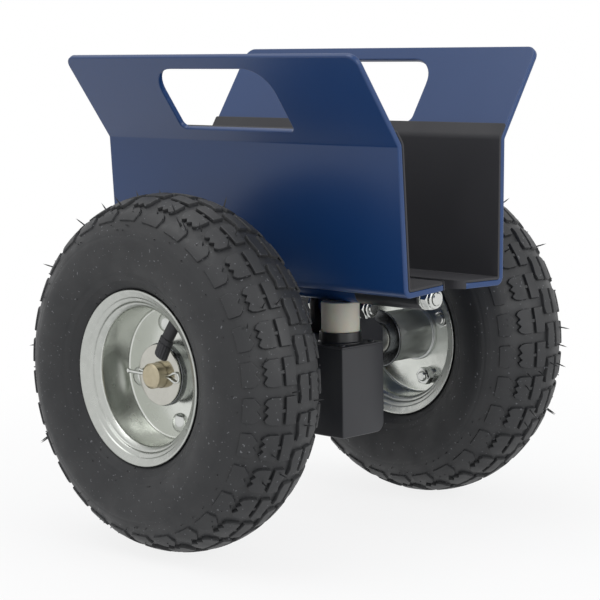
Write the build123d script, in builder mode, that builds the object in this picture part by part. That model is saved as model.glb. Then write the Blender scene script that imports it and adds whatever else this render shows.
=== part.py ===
from build123d import *
import os
from math import asin, cos, radians, sin, sqrt, tan

# Two-wheel slab dolly: a pair of rubber-lined jaws tilts shut when a slab's weight presses the load bar down.
# X runs along the jaws, Y along the axle and Z up, with the origin on the floor midway between the wheels.
# The near jaw and wheel are on the -Y side, the far ones on the +Y side. Lengths are in millimetres.

os.makedirs("parts", exist_ok=True)

SIDES = {"near": -1, "far": 1}

# Tyres, 270 mm over the tread on a 4 inch rim
tyre_radius = 135.0
tyre_width = 90.0
crown_radius = 54.0
tread_half = 36.0
widest_drop = 32.0
tread_thickness = 9.0
tread_depth = 3.5
centre_groove_half = 1.6
tread_pitches = 30
shoulder_slot_width = 8.0
shoulder_slot_length = 32.0
shoulder_slot_tilt = 24.0
slot_phases = {"near": 0.95, "far": 2.5}
sidewall_thickness = 5.5
bead_width = 8.0
bead_height = 7.5
bead_slope = 2.5
tube_wall = 2.0
tube_gap = 0.4
tube_side_room = 9.5

# Axle with its sleeves, washers and cotter pins
axle_radius = 9.5
axle_overhang = 9.4
axle_clearance = 0.06
axle_chamfer = 1.5
sleeve_wall = 1.5
sleeve_length = 63.9
axle_washer_rim = 13.5
axle_washer_thickness = 1.5
cotter_radius = 1.5
cotter_reach = 34.0
cotter_head = 14.0
cotter_eye_radius = 4.5
cotter_eye_wire = 1.25

# Flanged ball bearings and hubs
inner_ring_wall = 2.9
ball_radius = 3.1
ball_count = 9
ball_clearance = 0.2
race_gap = 3.7
outer_ring_wall = 1.9
press_clearance = 0.02
bearing_width = 12.0
bearing_flange_rim = 2.8
bearing_flange_thickness = 2.0
bearing_cap_depth = 5.0
shield_gap = 0.5
bearing_stand_off = 0.6
hub_wall = 3.0
hub_length = 56.0
hub_overhang = 5.5
hub_flange_rim = 2.0
hub_flange_thickness = 2.5

# Two-piece pressed rims
rim_width = 66.0
rim_sheet = 2.2
rim_curl = 2.4
rim_bend = 4.0
rim_bolt_room = 8.0
rim_web_rim = 14.5
rim_well_drop = 1.0
rim_flange_height = 12.0
web_offset = 6.0
rim_bolt_count = 4
rim_bolt_phases = {"near": 10.0, "far": 67.0}
rim_bolt_radius = 4.0
rim_bolt_overhang = 2.2
rim_head_radius = 7.5
rim_head_height = 4.5
rim_head_round = 4.0
rim_nut_flats = 13.0
rim_nut_height = 6.5
rim_washer_radius = 7.0
rim_washer_thickness = 2.0
bead_clearance = 0.3
bead_lip_clearance = 1.2
bead_flank_clearance = 0.9
hole_clearance = 0.1

# Valves, set in the outer half of each rim
valve_angle = 61.0
valve_tilt = 20.0
valve_outset = 13.5
valve_radius = 4.0
valve_length = 23.0
valve_cap_radius = 4.7
valve_cap_length = 10.0
valve_cap_round = 1.4

# Centre housing
housing_length = 130.0
housing_width = 47.0
housing_below_axle = 60.0
housing_above_axle = 11.2
housing_wall = 3.0
housing_fold = 8.0
lid_thickness = 1.5
axle_notch_width = 8.0
boss_radius = 4.0
boss_depth = 20.0
lid_screw_radius = 1.9
lid_screw_length = 12.0
lid_head_radius = 3.4
lid_head_height = 2.2
lid_head_round = 1.3

# Load bar, plungers and their springs
load_tube_radius = 9.25
load_tube_length = 130.0
end_sleeve_radius = 9.5
bar_setback = 30.0
rod_radius = 5.0
rod_overhang = 1.5
nut_flats = 16.0
nut_height = 6.5
nut_collar_radius = 7.6
nut_collar_height = 2.5
nut_collar_round = 1.1
washer_rim = 4.0
washer_thickness = 2.0
plunger_radius = 15.0
plunger_end_room = 24.0
plunger_length = 57.0
plunger_edge = 1.0
stud_radius = 3.0
stud_length = 16.0
stud_hold = 3.0
slide_clearance = 0.06
collar_wall = 1.6
collar_height = 9.0
spring_inset = 3.25
spring_wire = 2.5
spring_turns = 6
spring_gap = 0.1

# Jaw pivots
pivot_outset = 21.5
pivot_above_axle = 32.0
lug_wall = 4.0
lug_length = 34.0
bush_wall = 2.0
pivot_clearance = 0.05
bracket_gap = 0.5
bracket_thickness = 5.0
bracket_rim = 4.0
bracket_foot_reach = 24.0
bracket_foot_below_axle = 22.0
bracket_neck_drop = 11.0
bracket_shoulder_drop = 18.0
bolt_head = 6.4
stop_gap = 0.4
stop_thickness = 3.0
stop_drop = 16.0
stop_rise = 6.0

# Jaws, with the walls leaning outwards; slack lets both rest rocked a little towards the near side
jaw_length = 319.0
plate = 4.5
lining = 2.0
jaw_lean = 2.3
jaw_rock = 1.0
flare_angle = 33.7
corner_outset = 10.5
lip_rise = 27.3
wall_height = 110.4
flare_height = 79.0
lip_gap = 6.5
corner_bend = 7.0
flare_bend = 3.0
lip_corner = 10.0
flare_corner = 9.0
lining_setback = 2.5
lip_clearance = 0.35
hand_hole_length = 124.0
hand_hole_bottom = 15.0
hand_hole_strap = 11.5
hand_hole_top_round = 22.0
hand_hole_bottom_round = 5.0
lining_below_hole = 3.0

# Radii of the wheel, built up from the axle to the rim's flange
axle_bore = axle_radius + axle_clearance
inner_race_radius = axle_radius + inner_ring_wall
outer_race_radius = inner_race_radius + race_gap
ball_circle = (outer_race_radius + inner_race_radius) / 2
shield_radius = inner_race_radius + shield_gap
hub_bore_radius = outer_race_radius + outer_ring_wall
hub_radius = hub_bore_radius + hub_wall
bearing_flange_radius = hub_radius + bearing_flange_rim
hub_flange_radius = hub_radius + hub_flange_rim
rim_bolt_circle = hub_flange_radius + rim_bolt_room + rim_washer_radius
well_radius = rim_bolt_circle + rim_web_rim
bead_seat_radius = well_radius + rim_well_drop
rim_flange_radius = bead_seat_radius + rim_flange_height
sleeve_radius = axle_radius + sleeve_wall

# Stations along the axle, built up from the housing's flank
half_housing = housing_width / 2
bearing_inner_face = half_housing + sleeve_length
hub_inner = bearing_inner_face + bearing_flange_thickness + bearing_stand_off
hub_outer = hub_inner + hub_length
bearing_outer_face = hub_outer + bearing_cap_depth + bearing_stand_off
washer_face = bearing_outer_face + axle_washer_thickness
cotter_y = washer_face + cotter_radius + hole_clearance
axle_end = washer_face + axle_overhang
half_track = hub_outer - hub_overhang
half_rim = rim_width / 2
web_outer = half_track - web_offset + rim_sheet
web_inner = half_track - web_offset - rim_sheet

# Heights, built up from the axle
axle_height = tyre_radius
wheel_axis = Axis((0, 0, axle_height), (0, 1, 0))
housing_bottom = axle_height - housing_below_axle
housing_top = axle_height + housing_above_axle
lid_bottom = housing_top - lid_thickness
bracket_foot_z = axle_height - bracket_foot_below_axle
pivot_y = half_housing + pivot_outset
pivot_z = axle_height + pivot_above_axle
corner_y = pivot_y + corner_outset
lean = radians(jaw_lean)
flare = radians(flare_angle)
lip_length = (corner_y - lip_gap) / cos(lean)
bend_out = corner_outset + wall_height * sin(lean)
bend_up = lip_rise + wall_height * cos(lean)

# The load bar sits under whichever lip the rock brings lower
rock = radians(abs(jaw_rock))
lip_end_in = pivot_y - lip_gap
lip_end_up = lip_rise + (corner_y - lip_gap) * tan(lean)
low_lip_y = pivot_y - lip_end_in * cos(rock) - lip_end_up * sin(rock)
low_lip_z = pivot_z + lip_end_up * cos(rock) - lip_end_in * sin(rock)
nut_reach = nut_flats / 2 / cos(radians(30))
bar_reach = max(load_tube_radius, end_sleeve_radius, nut_reach) + lip_clearance
bar_z = low_lip_z - sqrt(bar_reach**2 - low_lip_y**2)
plunger_top = bar_z - load_tube_radius
plunger_bottom = plunger_top - plunger_length

# Other values that follow from the sizes above
screw_x = housing_length / 2 - housing_wall - boss_radius + hole_clearance
screw_y = half_housing - housing_wall - boss_radius + hole_clearance
plunger_spacing = housing_length - plunger_end_room * 2
bar_half = jaw_length / 2 - bar_setback
end_sleeve_length = bar_half - load_tube_length / 2
washer_radius = min(rod_radius + washer_rim, bar_reach - lip_clearance)
bush_radius = rod_radius + bush_wall
lug_radius = bush_radius + lug_wall
bracket_radius = lug_radius + bracket_rim
bracket_inner = lug_length / 2 + bracket_gap
bracket_outer = bracket_inner + bracket_thickness
hand_hole_height = flare_height - hand_hole_bottom - hand_hole_strap


def save(piece, name):
    """Label a finished piece and write it as its own node."""
    piece.part.label = name
    export_step(piece.part, f"parts/{name}.step")


def section_plane(side, y, z):
    """Upright plane across X, with local X pointing outboard on that side and local Y up."""
    return Plane(origin=(0, side * y, z), x_dir=(0, side, 0), z_dir=(side, 0, 0))


def pivot_plane(side):
    """Section through one jaw's pivot, with its origin on the pivot's axis."""
    return section_plane(side, pivot_y, pivot_z)


def jaw_plane(side):
    """Section of one jaw from its pivot, turned about X by the rock at rest."""
    return pivot_plane(side).rotated((jaw_rock, 0, 0))


def wheel_plane(side):
    """Section of one wheel: local X outboard from its centre plane, local Y away from the axle."""
    return section_plane(side, half_track, axle_height)


def disc_plane(side, y):
    """Plane square to the axle at a distance y from the middle, facing outboard."""
    return Plane(origin=(0, side * y, axle_height), x_dir=(1, 0, 0), z_dir=(0, side, 0))


def end_plane(x, y, z, end):
    """Plane square to X at a point, facing the given end."""
    return Plane(origin=(x, y, z), x_dir=(0, 1, 0), z_dir=(end, 0, 0))


def wheel_ring(side, y_from, y_to, inner, outer):
    """Ring about the axle between two distances from the middle."""
    with BuildPart() as ring:
        with BuildSketch(disc_plane(side, y_from)):
            Circle(outer)
            Circle(inner, mode=Mode.SUBTRACT)
        extrude(amount=y_to - y_from)
    return ring.part


def flat_washer(bore, outer, thickness):
    """Plain washer lying on its seat, with its axis along Z."""
    with BuildPart() as washer:
        with BuildSketch():
            Circle(outer)
            Circle(bore, mode=Mode.SUBTRACT)
        extrude(amount=thickness)
    return washer.part


def hex_nut(flats, height, bore, collar_radius=0.0, collar_height=0.0):
    """Hexagon nut on its seat, with the round collar of a lock nut where one is given."""
    with BuildPart() as nut:
        with BuildSketch():
            RegularPolygon(flats / 2, 6, major_radius=False)
        extrude(amount=height)
        if collar_height:
            with BuildSketch(Plane.XY.offset(height)):
                Circle(collar_radius)
            extrude(amount=collar_height)
            fillet(nut.faces().sort_by(Axis.Z)[-1].edges(), nut_collar_round)
        with BuildSketch():
            Circle(bore)
        extrude(amount=height + collar_height, mode=Mode.SUBTRACT)
    return nut.part


# Tyres: a round crown with a centre groove and slotted shoulders, on a carcass with two beads

crown_centre = tyre_radius - crown_radius
shoulder_angle = asin(tread_half / crown_radius)


def on_crown(drop, angle):
    """Point of the tyre's section at a depth below the crown and an angle from its middle."""
    radius = crown_radius - drop
    return (radius * sin(angle), crown_centre + radius * cos(angle))


for name, side in SIDES.items():
    with BuildPart() as tyre:
        with BuildSketch(wheel_plane(side)):
            with BuildLine():
                bead_low = bead_seat_radius + bead_clearance
                heel_w = half_rim - rim_curl - bead_clearance - rim_bend
                toe_w = heel_w - bead_width
                flank_w = half_rim - rim_curl - bead_flank_clearance
                flange_w = half_rim + bead_clearance
                tip_r = rim_flange_radius + bead_lip_clearance
                widest_r = tyre_radius - widest_drop
                inner_w = tyre_width / 2 - sidewall_thickness
                groove_angle = asin(centre_groove_half / crown_radius)
                groove_floor = tyre_radius - tread_depth
                heel = Line((toe_w, bead_low), (heel_w, bead_low))
                flank = Line(heel @ 1, (flank_w, rim_flange_radius - rim_curl))
                lip = Line(flank @ 1, (flange_w, tip_r))
                wall = ThreePointArc(lip @ 1, (tyre_width / 2, widest_r), on_crown(0, shoulder_angle))
                tread = ThreePointArc(wall @ 1, on_crown(0, shoulder_angle / 2), on_crown(0, groove_angle))
                groove = Polyline(tread @ 1, (centre_groove_half, groove_floor), (0, groove_floor))
                middle = Line(groove @ 1, on_crown(tread_thickness, 0))
                roof = ThreePointArc(
                    middle @ 1,
                    on_crown(tread_thickness, shoulder_angle / 2),
                    on_crown(tread_thickness, shoulder_angle),
                )
                inner_wall = ThreePointArc(
                    roof @ 1, (inner_w, widest_r), (flange_w - sidewall_thickness, tip_r)
                )
                Polyline(inner_wall @ 1, (toe_w + bead_slope, bead_low + bead_height), heel @ 0)
            make_face()
            mirror(about=Plane.YZ)
        revolve(axis=wheel_axis)
        slot_w, slot_r = on_crown(0, radians(shoulder_slot_tilt))
        for edge, stagger in ((-1, 180 / tread_pitches), (1, 0.0)):
            with Locations(disc_plane(side, half_track + edge * slot_w)):
                with PolarLocations(slot_r, tread_pitches, start_angle=slot_phases[name] + stagger):
                    Box(
                        tread_depth * 2,
                        shoulder_slot_width,
                        shoulder_slot_length,
                        rotation=(0, -edge * shoulder_slot_tilt, 0),
                        mode=Mode.SUBTRACT,
                    )
    save(tyre, f"{name}_tyre")

# Inner tubes

tube_top = tyre_radius - tread_thickness - tube_gap
tube_low = bead_seat_radius - tube_gap
tube_centre = (tube_top + tube_low) / 2
tube_half_height = (tube_top - tube_low) / 2
tube_half_width = tyre_width / 2 - sidewall_thickness - tube_side_room

for name, side in SIDES.items():
    with BuildPart() as inner_tube:
        with BuildSketch(wheel_plane(side)):
            with Locations((0, tube_centre)):
                Ellipse(tube_half_width, tube_half_height)
                Ellipse(tube_half_width - tube_wall, tube_half_height - tube_wall, mode=Mode.SUBTRACT)
        revolve(axis=wheel_axis)
    save(inner_tube, f"{name}_inner_tube")

# Rim halves: a web that meets its twin, a barrel for one bead and a curled flange


def valve_plane(side):
    """Plane square to the valve stem where it passes the rim barrel, facing the axle and outboard."""
    angle = radians(valve_angle)
    tilt = radians(valve_tilt)
    seat = Vector(bead_seat_radius * cos(angle), 0, bead_seat_radius * sin(angle))
    seat += Vector(0, side * (half_track + valve_outset), axle_height)
    aim = Vector(-cos(angle) * cos(tilt), side * sin(tilt), -sin(angle) * cos(tilt))
    return Plane(origin=seat, z_dir=aim)


for name, side in SIDES.items():
    for half, reach, sheet_side in (("outer", half_rim, Side.RIGHT), ("inner", -half_rim, Side.LEFT)):
        outward = 1 if reach > 0 else -1
        with BuildPart() as rim:
            with BuildSketch(wheel_plane(side)):
                with BuildLine():
                    FilletPolyline(
                        (-web_offset, hub_radius + press_clearance),
                        (-web_offset, well_radius),
                        (reach - outward * (rim_curl + rim_sheet), bead_seat_radius),
                        (reach - outward * rim_curl, rim_flange_radius - rim_curl),
                        (reach, rim_flange_radius),
                        radius=(rim_bend, rim_bend, rim_sheet),
                    )
                    offset(amount=rim_sheet, side=sheet_side)
                make_face()
            revolve(axis=wheel_axis)
            with BuildSketch(disc_plane(side, web_inner)):
                with PolarLocations(rim_bolt_circle, rim_bolt_count, start_angle=rim_bolt_phases[name]):
                    Circle(rim_bolt_radius + hole_clearance)
            extrude(amount=web_outer - web_inner, mode=Mode.SUBTRACT)
            if half == "outer":
                with BuildSketch(valve_plane(side)):
                    Circle(valve_radius + hole_clearance)
                extrude(amount=valve_length / 2, both=True, mode=Mode.SUBTRACT)
        save(rim, f"{name}_rim_{half}")

# Rim bolts with domed heads outboard, and their lock washers and nuts inboard

with BuildPart() as rim_bolt:
    with BuildSketch():
        Circle(rim_head_radius)
    extrude(amount=rim_head_height)
    fillet(rim_bolt.faces().sort_by(Axis.Z)[-1].edges(), rim_head_round)
    with BuildSketch():
        Circle(rim_bolt_radius)
    extrude(amount=-(web_outer - web_inner + rim_washer_thickness + rim_nut_height + rim_bolt_overhang))

rim_nut = hex_nut(rim_nut_flats, rim_nut_height, rim_bolt_radius + press_clearance)
rim_washer = flat_washer(rim_bolt_radius + hole_clearance, rim_washer_radius, rim_washer_thickness)


def rim_circle(piece, name, y):
    """Group of one rim fastener set round one wheel's bolt circle at a distance y from the middle."""
    with BuildPart() as group:
        with Locations(disc_plane(SIDES[name], y)):
            with PolarLocations(rim_bolt_circle, rim_bolt_count, start_angle=rim_bolt_phases[name]):
                add(piece)
    return group


for name in SIDES:
    washer_seat = web_inner - rim_washer_thickness
    save(rim_circle(rim_bolt.part, name, web_outer), f"{name}_rim_bolts")
    save(rim_circle(rim_washer, name, washer_seat), f"{name}_rim_lock_washers")
    save(rim_circle(rim_nut, name, washer_seat - rim_nut_height), f"{name}_rim_nuts")

# Valve stems and caps

for name, side in SIDES.items():
    stem_plane = valve_plane(side)
    with BuildPart() as valve_stem:
        with BuildSketch(stem_plane):
            Circle(valve_radius)
        extrude(amount=valve_length)
        with BuildSketch(stem_plane):
            Circle(valve_radius)
        extrude(amount=-valve_radius)
        with BuildSketch(wheel_plane(side)):
            with Locations((0, tube_centre)):
                Ellipse(tube_half_width + press_clearance, tube_half_height + press_clearance)
        revolve(axis=wheel_axis, mode=Mode.SUBTRACT)
    save(valve_stem, f"{name}_valve_stem")

    with BuildPart() as valve_cap:
        with BuildSketch(stem_plane.offset(valve_length)):
            Circle(valve_cap_radius)
        extrude(amount=valve_cap_length)
        along_stem = Axis(stem_plane.origin, stem_plane.z_dir)
        fillet(valve_cap.faces().sort_by(along_stem)[-1].edges(), valve_cap_round)
    save(valve_cap, f"{name}_valve_cap")

# Hubs, long on the inboard side, with a flange against the rim web

for name, side in SIDES.items():
    with BuildPart() as hub:
        add(wheel_ring(side, hub_inner, hub_outer, hub_bore_radius, hub_radius))
        add(wheel_ring(side, web_inner - hub_flange_thickness, web_inner, hub_bore_radius, hub_flange_radius))
    save(hub, f"{name}_hub")

# Ball bearings at both ends of each hub: flanged outer rings and balls turn, inner rings stay on the axle

hub_ends = ((hub_outer, -1, bearing_cap_depth), (hub_inner, 1, bearing_flange_thickness))

for name, side in SIDES.items():
    with BuildPart() as outer_rings:
        for face, inward, depth in hub_ends:
            with BuildSketch(section_plane(side, face, axle_height)):
                with Locations((inward * bearing_width / 2, (hub_bore_radius + outer_race_radius) / 2)):
                    Rectangle(bearing_width, hub_bore_radius - outer_race_radius - press_clearance * 2)
                with Locations((-inward * depth / 2, (bearing_flange_radius + shield_radius) / 2)):
                    Rectangle(depth, bearing_flange_radius - shield_radius)
                with Locations((inward * bearing_width / 2, ball_circle)):
                    Circle(ball_radius + ball_clearance, mode=Mode.SUBTRACT)
            revolve(axis=wheel_axis)
    save(outer_rings, f"{name}_bearing_outer_rings")

    with BuildPart() as balls:
        for y in (hub_outer - bearing_width / 2, hub_inner + bearing_width / 2):
            with Locations(disc_plane(side, y)):
                with PolarLocations(ball_circle, ball_count):
                    Sphere(ball_radius)
    save(balls, f"{name}_bearing_balls")

with BuildPart() as inner_rings:
    for side in SIDES.values():
        for face, inward, depth in hub_ends:
            stand_out = depth + bearing_stand_off
            ring_middle = (inward * (bearing_width - stand_out) / 2, (axle_bore + inner_race_radius) / 2)
            with BuildSketch(section_plane(side, face, axle_height)):
                with Locations(ring_middle):
                    Rectangle(bearing_width + stand_out, inner_race_radius - axle_bore)
                with Locations((inward * bearing_width / 2, ball_circle)):
                    Circle(ball_radius + ball_clearance, mode=Mode.SUBTRACT)
            revolve(axis=wheel_axis)
save(inner_rings, "bearing_inner_rings")

# Axle, drilled near both ends for the cotter pins

with BuildPart() as axle:
    with BuildSketch(disc_plane(1, -axle_end)):
        Circle(axle_radius)
    extrude(amount=axle_end * 2)
    chamfer(axle.edges().filter_by(GeomType.CIRCLE), axle_chamfer)
    with BuildSketch(Plane.YZ):
        with Locations((cotter_y, axle_height), (-cotter_y, axle_height)):
            Circle(cotter_radius + hole_clearance)
    extrude(amount=axle_radius, both=True, mode=Mode.SUBTRACT)
save(axle, "axle")

for name, side in SIDES.items():
    with BuildPart() as axle_sleeve:
        add(wheel_ring(side, half_housing, bearing_inner_face, axle_bore, sleeve_radius))
    save(axle_sleeve, f"{name}_axle_sleeve")

axle_washer_radius = axle_radius + axle_washer_rim

with BuildPart() as axle_washers:
    for side in SIDES.values():
        add(wheel_ring(side, bearing_outer_face, washer_face, axle_bore, axle_washer_radius))
save(axle_washers, "axle_washers")

with BuildPart() as cotter_pins:
    for side in SIDES.values():
        with BuildSketch(end_plane(-cotter_reach, side * cotter_y, axle_height, 1)):
            Circle(cotter_radius)
        extrude(amount=cotter_reach + cotter_head)
        with Locations((cotter_head + cotter_eye_radius, side * cotter_y, axle_height)):
            Torus(cotter_eye_radius, cotter_eye_wire, rotation=(90, 0, 0))
save(cotter_pins, "cotter_pins")

# Centre housing: a box folded along its far lower edge, with bosses for the lid screws

with BuildPart() as housing:
    with BuildSketch(Plane.XY.offset(housing_bottom)):
        Rectangle(housing_length, housing_width)
    extrude(amount=lid_bottom - housing_bottom)
    fillet(housing.edges().filter_by(Axis.X).group_by(Axis.Z)[0].sort_by(Axis.Y)[-1], housing_fold)
    offset(amount=-housing_wall, openings=housing.faces().sort_by(Axis.Z)[-1])
    with BuildSketch(Plane.XY.offset(lid_bottom)):
        with GridLocations(screw_x * 2, screw_y * 2, 2, 2):
            Circle(boss_radius)
    extrude(amount=-boss_depth)
    with BuildSketch(Plane.XY.offset(lid_bottom)):
        with GridLocations(screw_x * 2, screw_y * 2, 2, 2):
            Circle(lid_screw_radius + press_clearance)
    extrude(amount=-boss_depth, mode=Mode.SUBTRACT)
    with BuildSketch(disc_plane(1, -half_housing)):
        Circle(axle_radius + press_clearance)
        with Locations((0, -housing_above_axle / 2)):
            Rectangle(axle_notch_width, housing_above_axle)
    extrude(amount=housing_width, mode=Mode.SUBTRACT)
save(housing, "housing_shell")

with BuildPart() as lid:
    with BuildSketch(Plane.XY.offset(lid_bottom)):
        Rectangle(housing_length, housing_width)
        with GridLocations(screw_x * 2, screw_y * 2, 2, 2):
            Circle(lid_screw_radius + hole_clearance, mode=Mode.SUBTRACT)
        with GridLocations(plunger_spacing, 0, 2, 1):
            Circle(plunger_radius + slide_clearance, mode=Mode.SUBTRACT)
    extrude(amount=lid_thickness)
save(lid, "housing_lid")

with BuildPart() as lid_screws:
    with BuildSketch(Plane.XY.offset(housing_top)):
        with GridLocations(screw_x * 2, screw_y * 2, 2, 2):
            Circle(lid_head_radius)
    extrude(amount=lid_head_height)
    fillet(lid_screws.faces().group_by(Axis.Z)[-1].edges(), lid_head_round)
    with BuildSketch(Plane.XY.offset(housing_top)):
        with GridLocations(screw_x * 2, screw_y * 2, 2, 2):
            Circle(lid_screw_radius)
    extrude(amount=-lid_screw_length)
save(lid_screws, "lid_screws")

with BuildPart() as guide_collars:
    with BuildSketch(Plane.XY.offset(housing_top)):
        with GridLocations(plunger_spacing, 0, 2, 1):
            Circle(plunger_radius + collar_wall)
            Circle(plunger_radius + slide_clearance, mode=Mode.SUBTRACT)
    extrude(amount=collar_height)
save(guide_collars, "guide_collars")

spring_seat = housing_bottom + housing_wall
spring_height = plunger_bottom - spring_seat - spring_wire - spring_gap * 2
spring_radius = plunger_radius - spring_inset

with BuildPart() as spring:
    with BuildLine(Plane.XY.offset(spring_seat + spring_gap + spring_wire / 2)) as coil:
        Helix(pitch=spring_height / spring_turns, height=spring_height, radius=spring_radius)
    with BuildSketch(Plane(origin=coil.line @ 0, z_dir=coil.line % 0)):
        Circle(spring_wire / 2)
    sweep(is_frenet=True)

with BuildPart() as plunger_springs:
    with GridLocations(plunger_spacing, 0, 2, 1):
        add(spring.part)
save(plunger_springs, "plunger_springs")

# Pivot brackets: a pair of eared plates on each flank of the housing, with a stop plate between them

for name, side in SIDES.items():
    with BuildPart() as brackets:
        for start in (bracket_inner, -bracket_outer):
            with BuildSketch(end_plane(start, 0, 0, 1)):
                with BuildLine():
                    foot = Polyline(
                        (side * (pivot_y - bracket_radius), pivot_z),
                        (side * (pivot_y - bracket_radius), pivot_z - bracket_neck_drop),
                        (side * half_housing, pivot_z - bracket_shoulder_drop),
                        (side * half_housing, bracket_foot_z),
                        (side * (pivot_y + bracket_foot_reach), bracket_foot_z),
                        (side * (pivot_y + bracket_foot_reach), pivot_z - bracket_shoulder_drop),
                        (side * (pivot_y + bracket_radius), pivot_z - bracket_neck_drop),
                        (side * (pivot_y + bracket_radius), pivot_z),
                    )
                    ThreePointArc(foot @ 1, (side * pivot_y, pivot_z + bracket_radius), foot @ 0)
                make_face()
                with Locations((side * pivot_y, pivot_z)):
                    Circle(rod_radius + hole_clearance, mode=Mode.SUBTRACT)
            extrude(amount=bracket_thickness)
    save(brackets, f"{name}_pivot_brackets")

stop_y = pivot_y + lug_radius + stop_gap

with BuildPart() as stop_plates:
    for side in SIDES.values():
        with BuildSketch(Plane.XY.offset(pivot_z - stop_drop)):
            with Locations((0, side * (stop_y + stop_thickness / 2))):
                Rectangle(bracket_inner * 2, stop_thickness)
        extrude(amount=stop_drop + stop_rise)
save(stop_plates, "stop_plates")

# Pivot bolts along X, with washers and lock nuts

bolt_seat = bracket_outer + washer_thickness
bolt_tip = bolt_seat + nut_height + nut_collar_height + rod_overhang
lock_nut = hex_nut(nut_flats, nut_height, rod_radius + press_clearance, nut_collar_radius, nut_collar_height)
bolt_washer = flat_washer(rod_radius + hole_clearance, washer_radius, washer_thickness)

with BuildPart() as pivot_bolts:
    for side in SIDES.values():
        with BuildSketch(end_plane(-bolt_seat, side * pivot_y, pivot_z, -1)):
            RegularPolygon(nut_flats / 2, 6, major_radius=False)
        extrude(amount=bolt_head)
        with BuildSketch(end_plane(-bolt_seat, side * pivot_y, pivot_z, 1)):
            Circle(rod_radius)
        extrude(amount=bolt_seat + bolt_tip)
save(pivot_bolts, "pivot_bolts")

with BuildPart() as pivot_washers:
    for side in SIDES.values():
        for end in (-1, 1):
            with Locations(end_plane(end * bracket_outer, side * pivot_y, pivot_z, end)):
                add(bolt_washer)
save(pivot_washers, "pivot_washers")

with BuildPart() as pivot_nuts:
    for side in SIDES.values():
        with Locations(end_plane(bolt_seat, side * pivot_y, pivot_z, 1)):
            add(lock_nut)
save(pivot_nuts, "pivot_nuts")

# Load bar: a tube with an end sleeve at each end, clamped on one long rod

with BuildPart() as load_tube:
    with BuildSketch(end_plane(0, 0, bar_z, 1)):
        Circle(load_tube_radius)
        Circle(rod_radius + hole_clearance, mode=Mode.SUBTRACT)
    extrude(amount=load_tube_length / 2, both=True)
    with BuildSketch(Plane.XY.offset(plunger_top)):
        with GridLocations(plunger_spacing, 0, 2, 1):
            Circle(stud_radius + press_clearance)
    extrude(amount=stud_hold + press_clearance, mode=Mode.SUBTRACT)
save(load_tube, "load_tube")

with BuildPart() as end_sleeves:
    for end in (-1, 1):
        with BuildSketch(end_plane(end * load_tube_length / 2, 0, bar_z, end)):
            Circle(end_sleeve_radius)
            Circle(rod_radius + hole_clearance, mode=Mode.SUBTRACT)
        extrude(amount=end_sleeve_length)
save(end_sleeves, "load_bar_sleeves")

rod_half = bar_half + washer_thickness + nut_height + nut_collar_height + rod_overhang

with BuildPart() as load_rod:
    with BuildSketch(end_plane(0, 0, bar_z, 1)):
        Circle(rod_radius)
    extrude(amount=rod_half, both=True)
save(load_rod, "load_bar_rod")

with BuildPart() as bar_washers:
    for end in (-1, 1):
        with Locations(end_plane(end * bar_half, 0, bar_z, end)):
            add(bolt_washer)
save(bar_washers, "load_bar_washers")

with BuildPart() as bar_nuts:
    for end in (-1, 1):
        with Locations(end_plane(end * (bar_half + washer_thickness), 0, bar_z, end)):
            add(lock_nut)
save(bar_nuts, "load_bar_nuts")

with BuildPart() as plungers:
    with BuildSketch(Plane.XY.offset(plunger_top)):
        with GridLocations(plunger_spacing, 0, 2, 1):
            Circle(plunger_radius)
    extrude(amount=-plunger_length)
    chamfer(plungers.faces().group_by(Axis.Z)[-1].edges(), plunger_edge)
    with BuildSketch(Plane.XY.offset(plunger_top)):
        with GridLocations(plunger_spacing, 0, 2, 1):
            Circle(stud_radius + press_clearance)
    extrude(amount=-(stud_length - stud_hold), mode=Mode.SUBTRACT)
save(plungers, "nylon_plungers")

with BuildPart() as studs:
    with BuildSketch(Plane.XY.offset(plunger_top + stud_hold)):
        with GridLocations(plunger_spacing, 0, 2, 1):
            Circle(stud_radius)
    extrude(amount=-stud_length)
save(studs, "plunger_studs")

# Jaws: one bent plate each for lip, wall and flare, with a rubber lining inside


def jaw_section(lip_start, flare_reach, thickness):
    """Bent section of a jaw from its lip to its flare, as a face of the given thickness."""
    with BuildSketch() as section:
        with BuildLine():
            FilletPolyline(
                (corner_outset - lip_start * cos(lean), lip_rise + lip_start * sin(lean)),
                (corner_outset, lip_rise),
                (bend_out, bend_up),
                (bend_out + flare_reach * sin(flare), bend_up + flare_reach * cos(flare)),
                radius=(corner_bend, flare_bend),
            )
            offset(amount=thickness, side=Side.LEFT)
        make_face()
    return section.sketch


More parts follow.
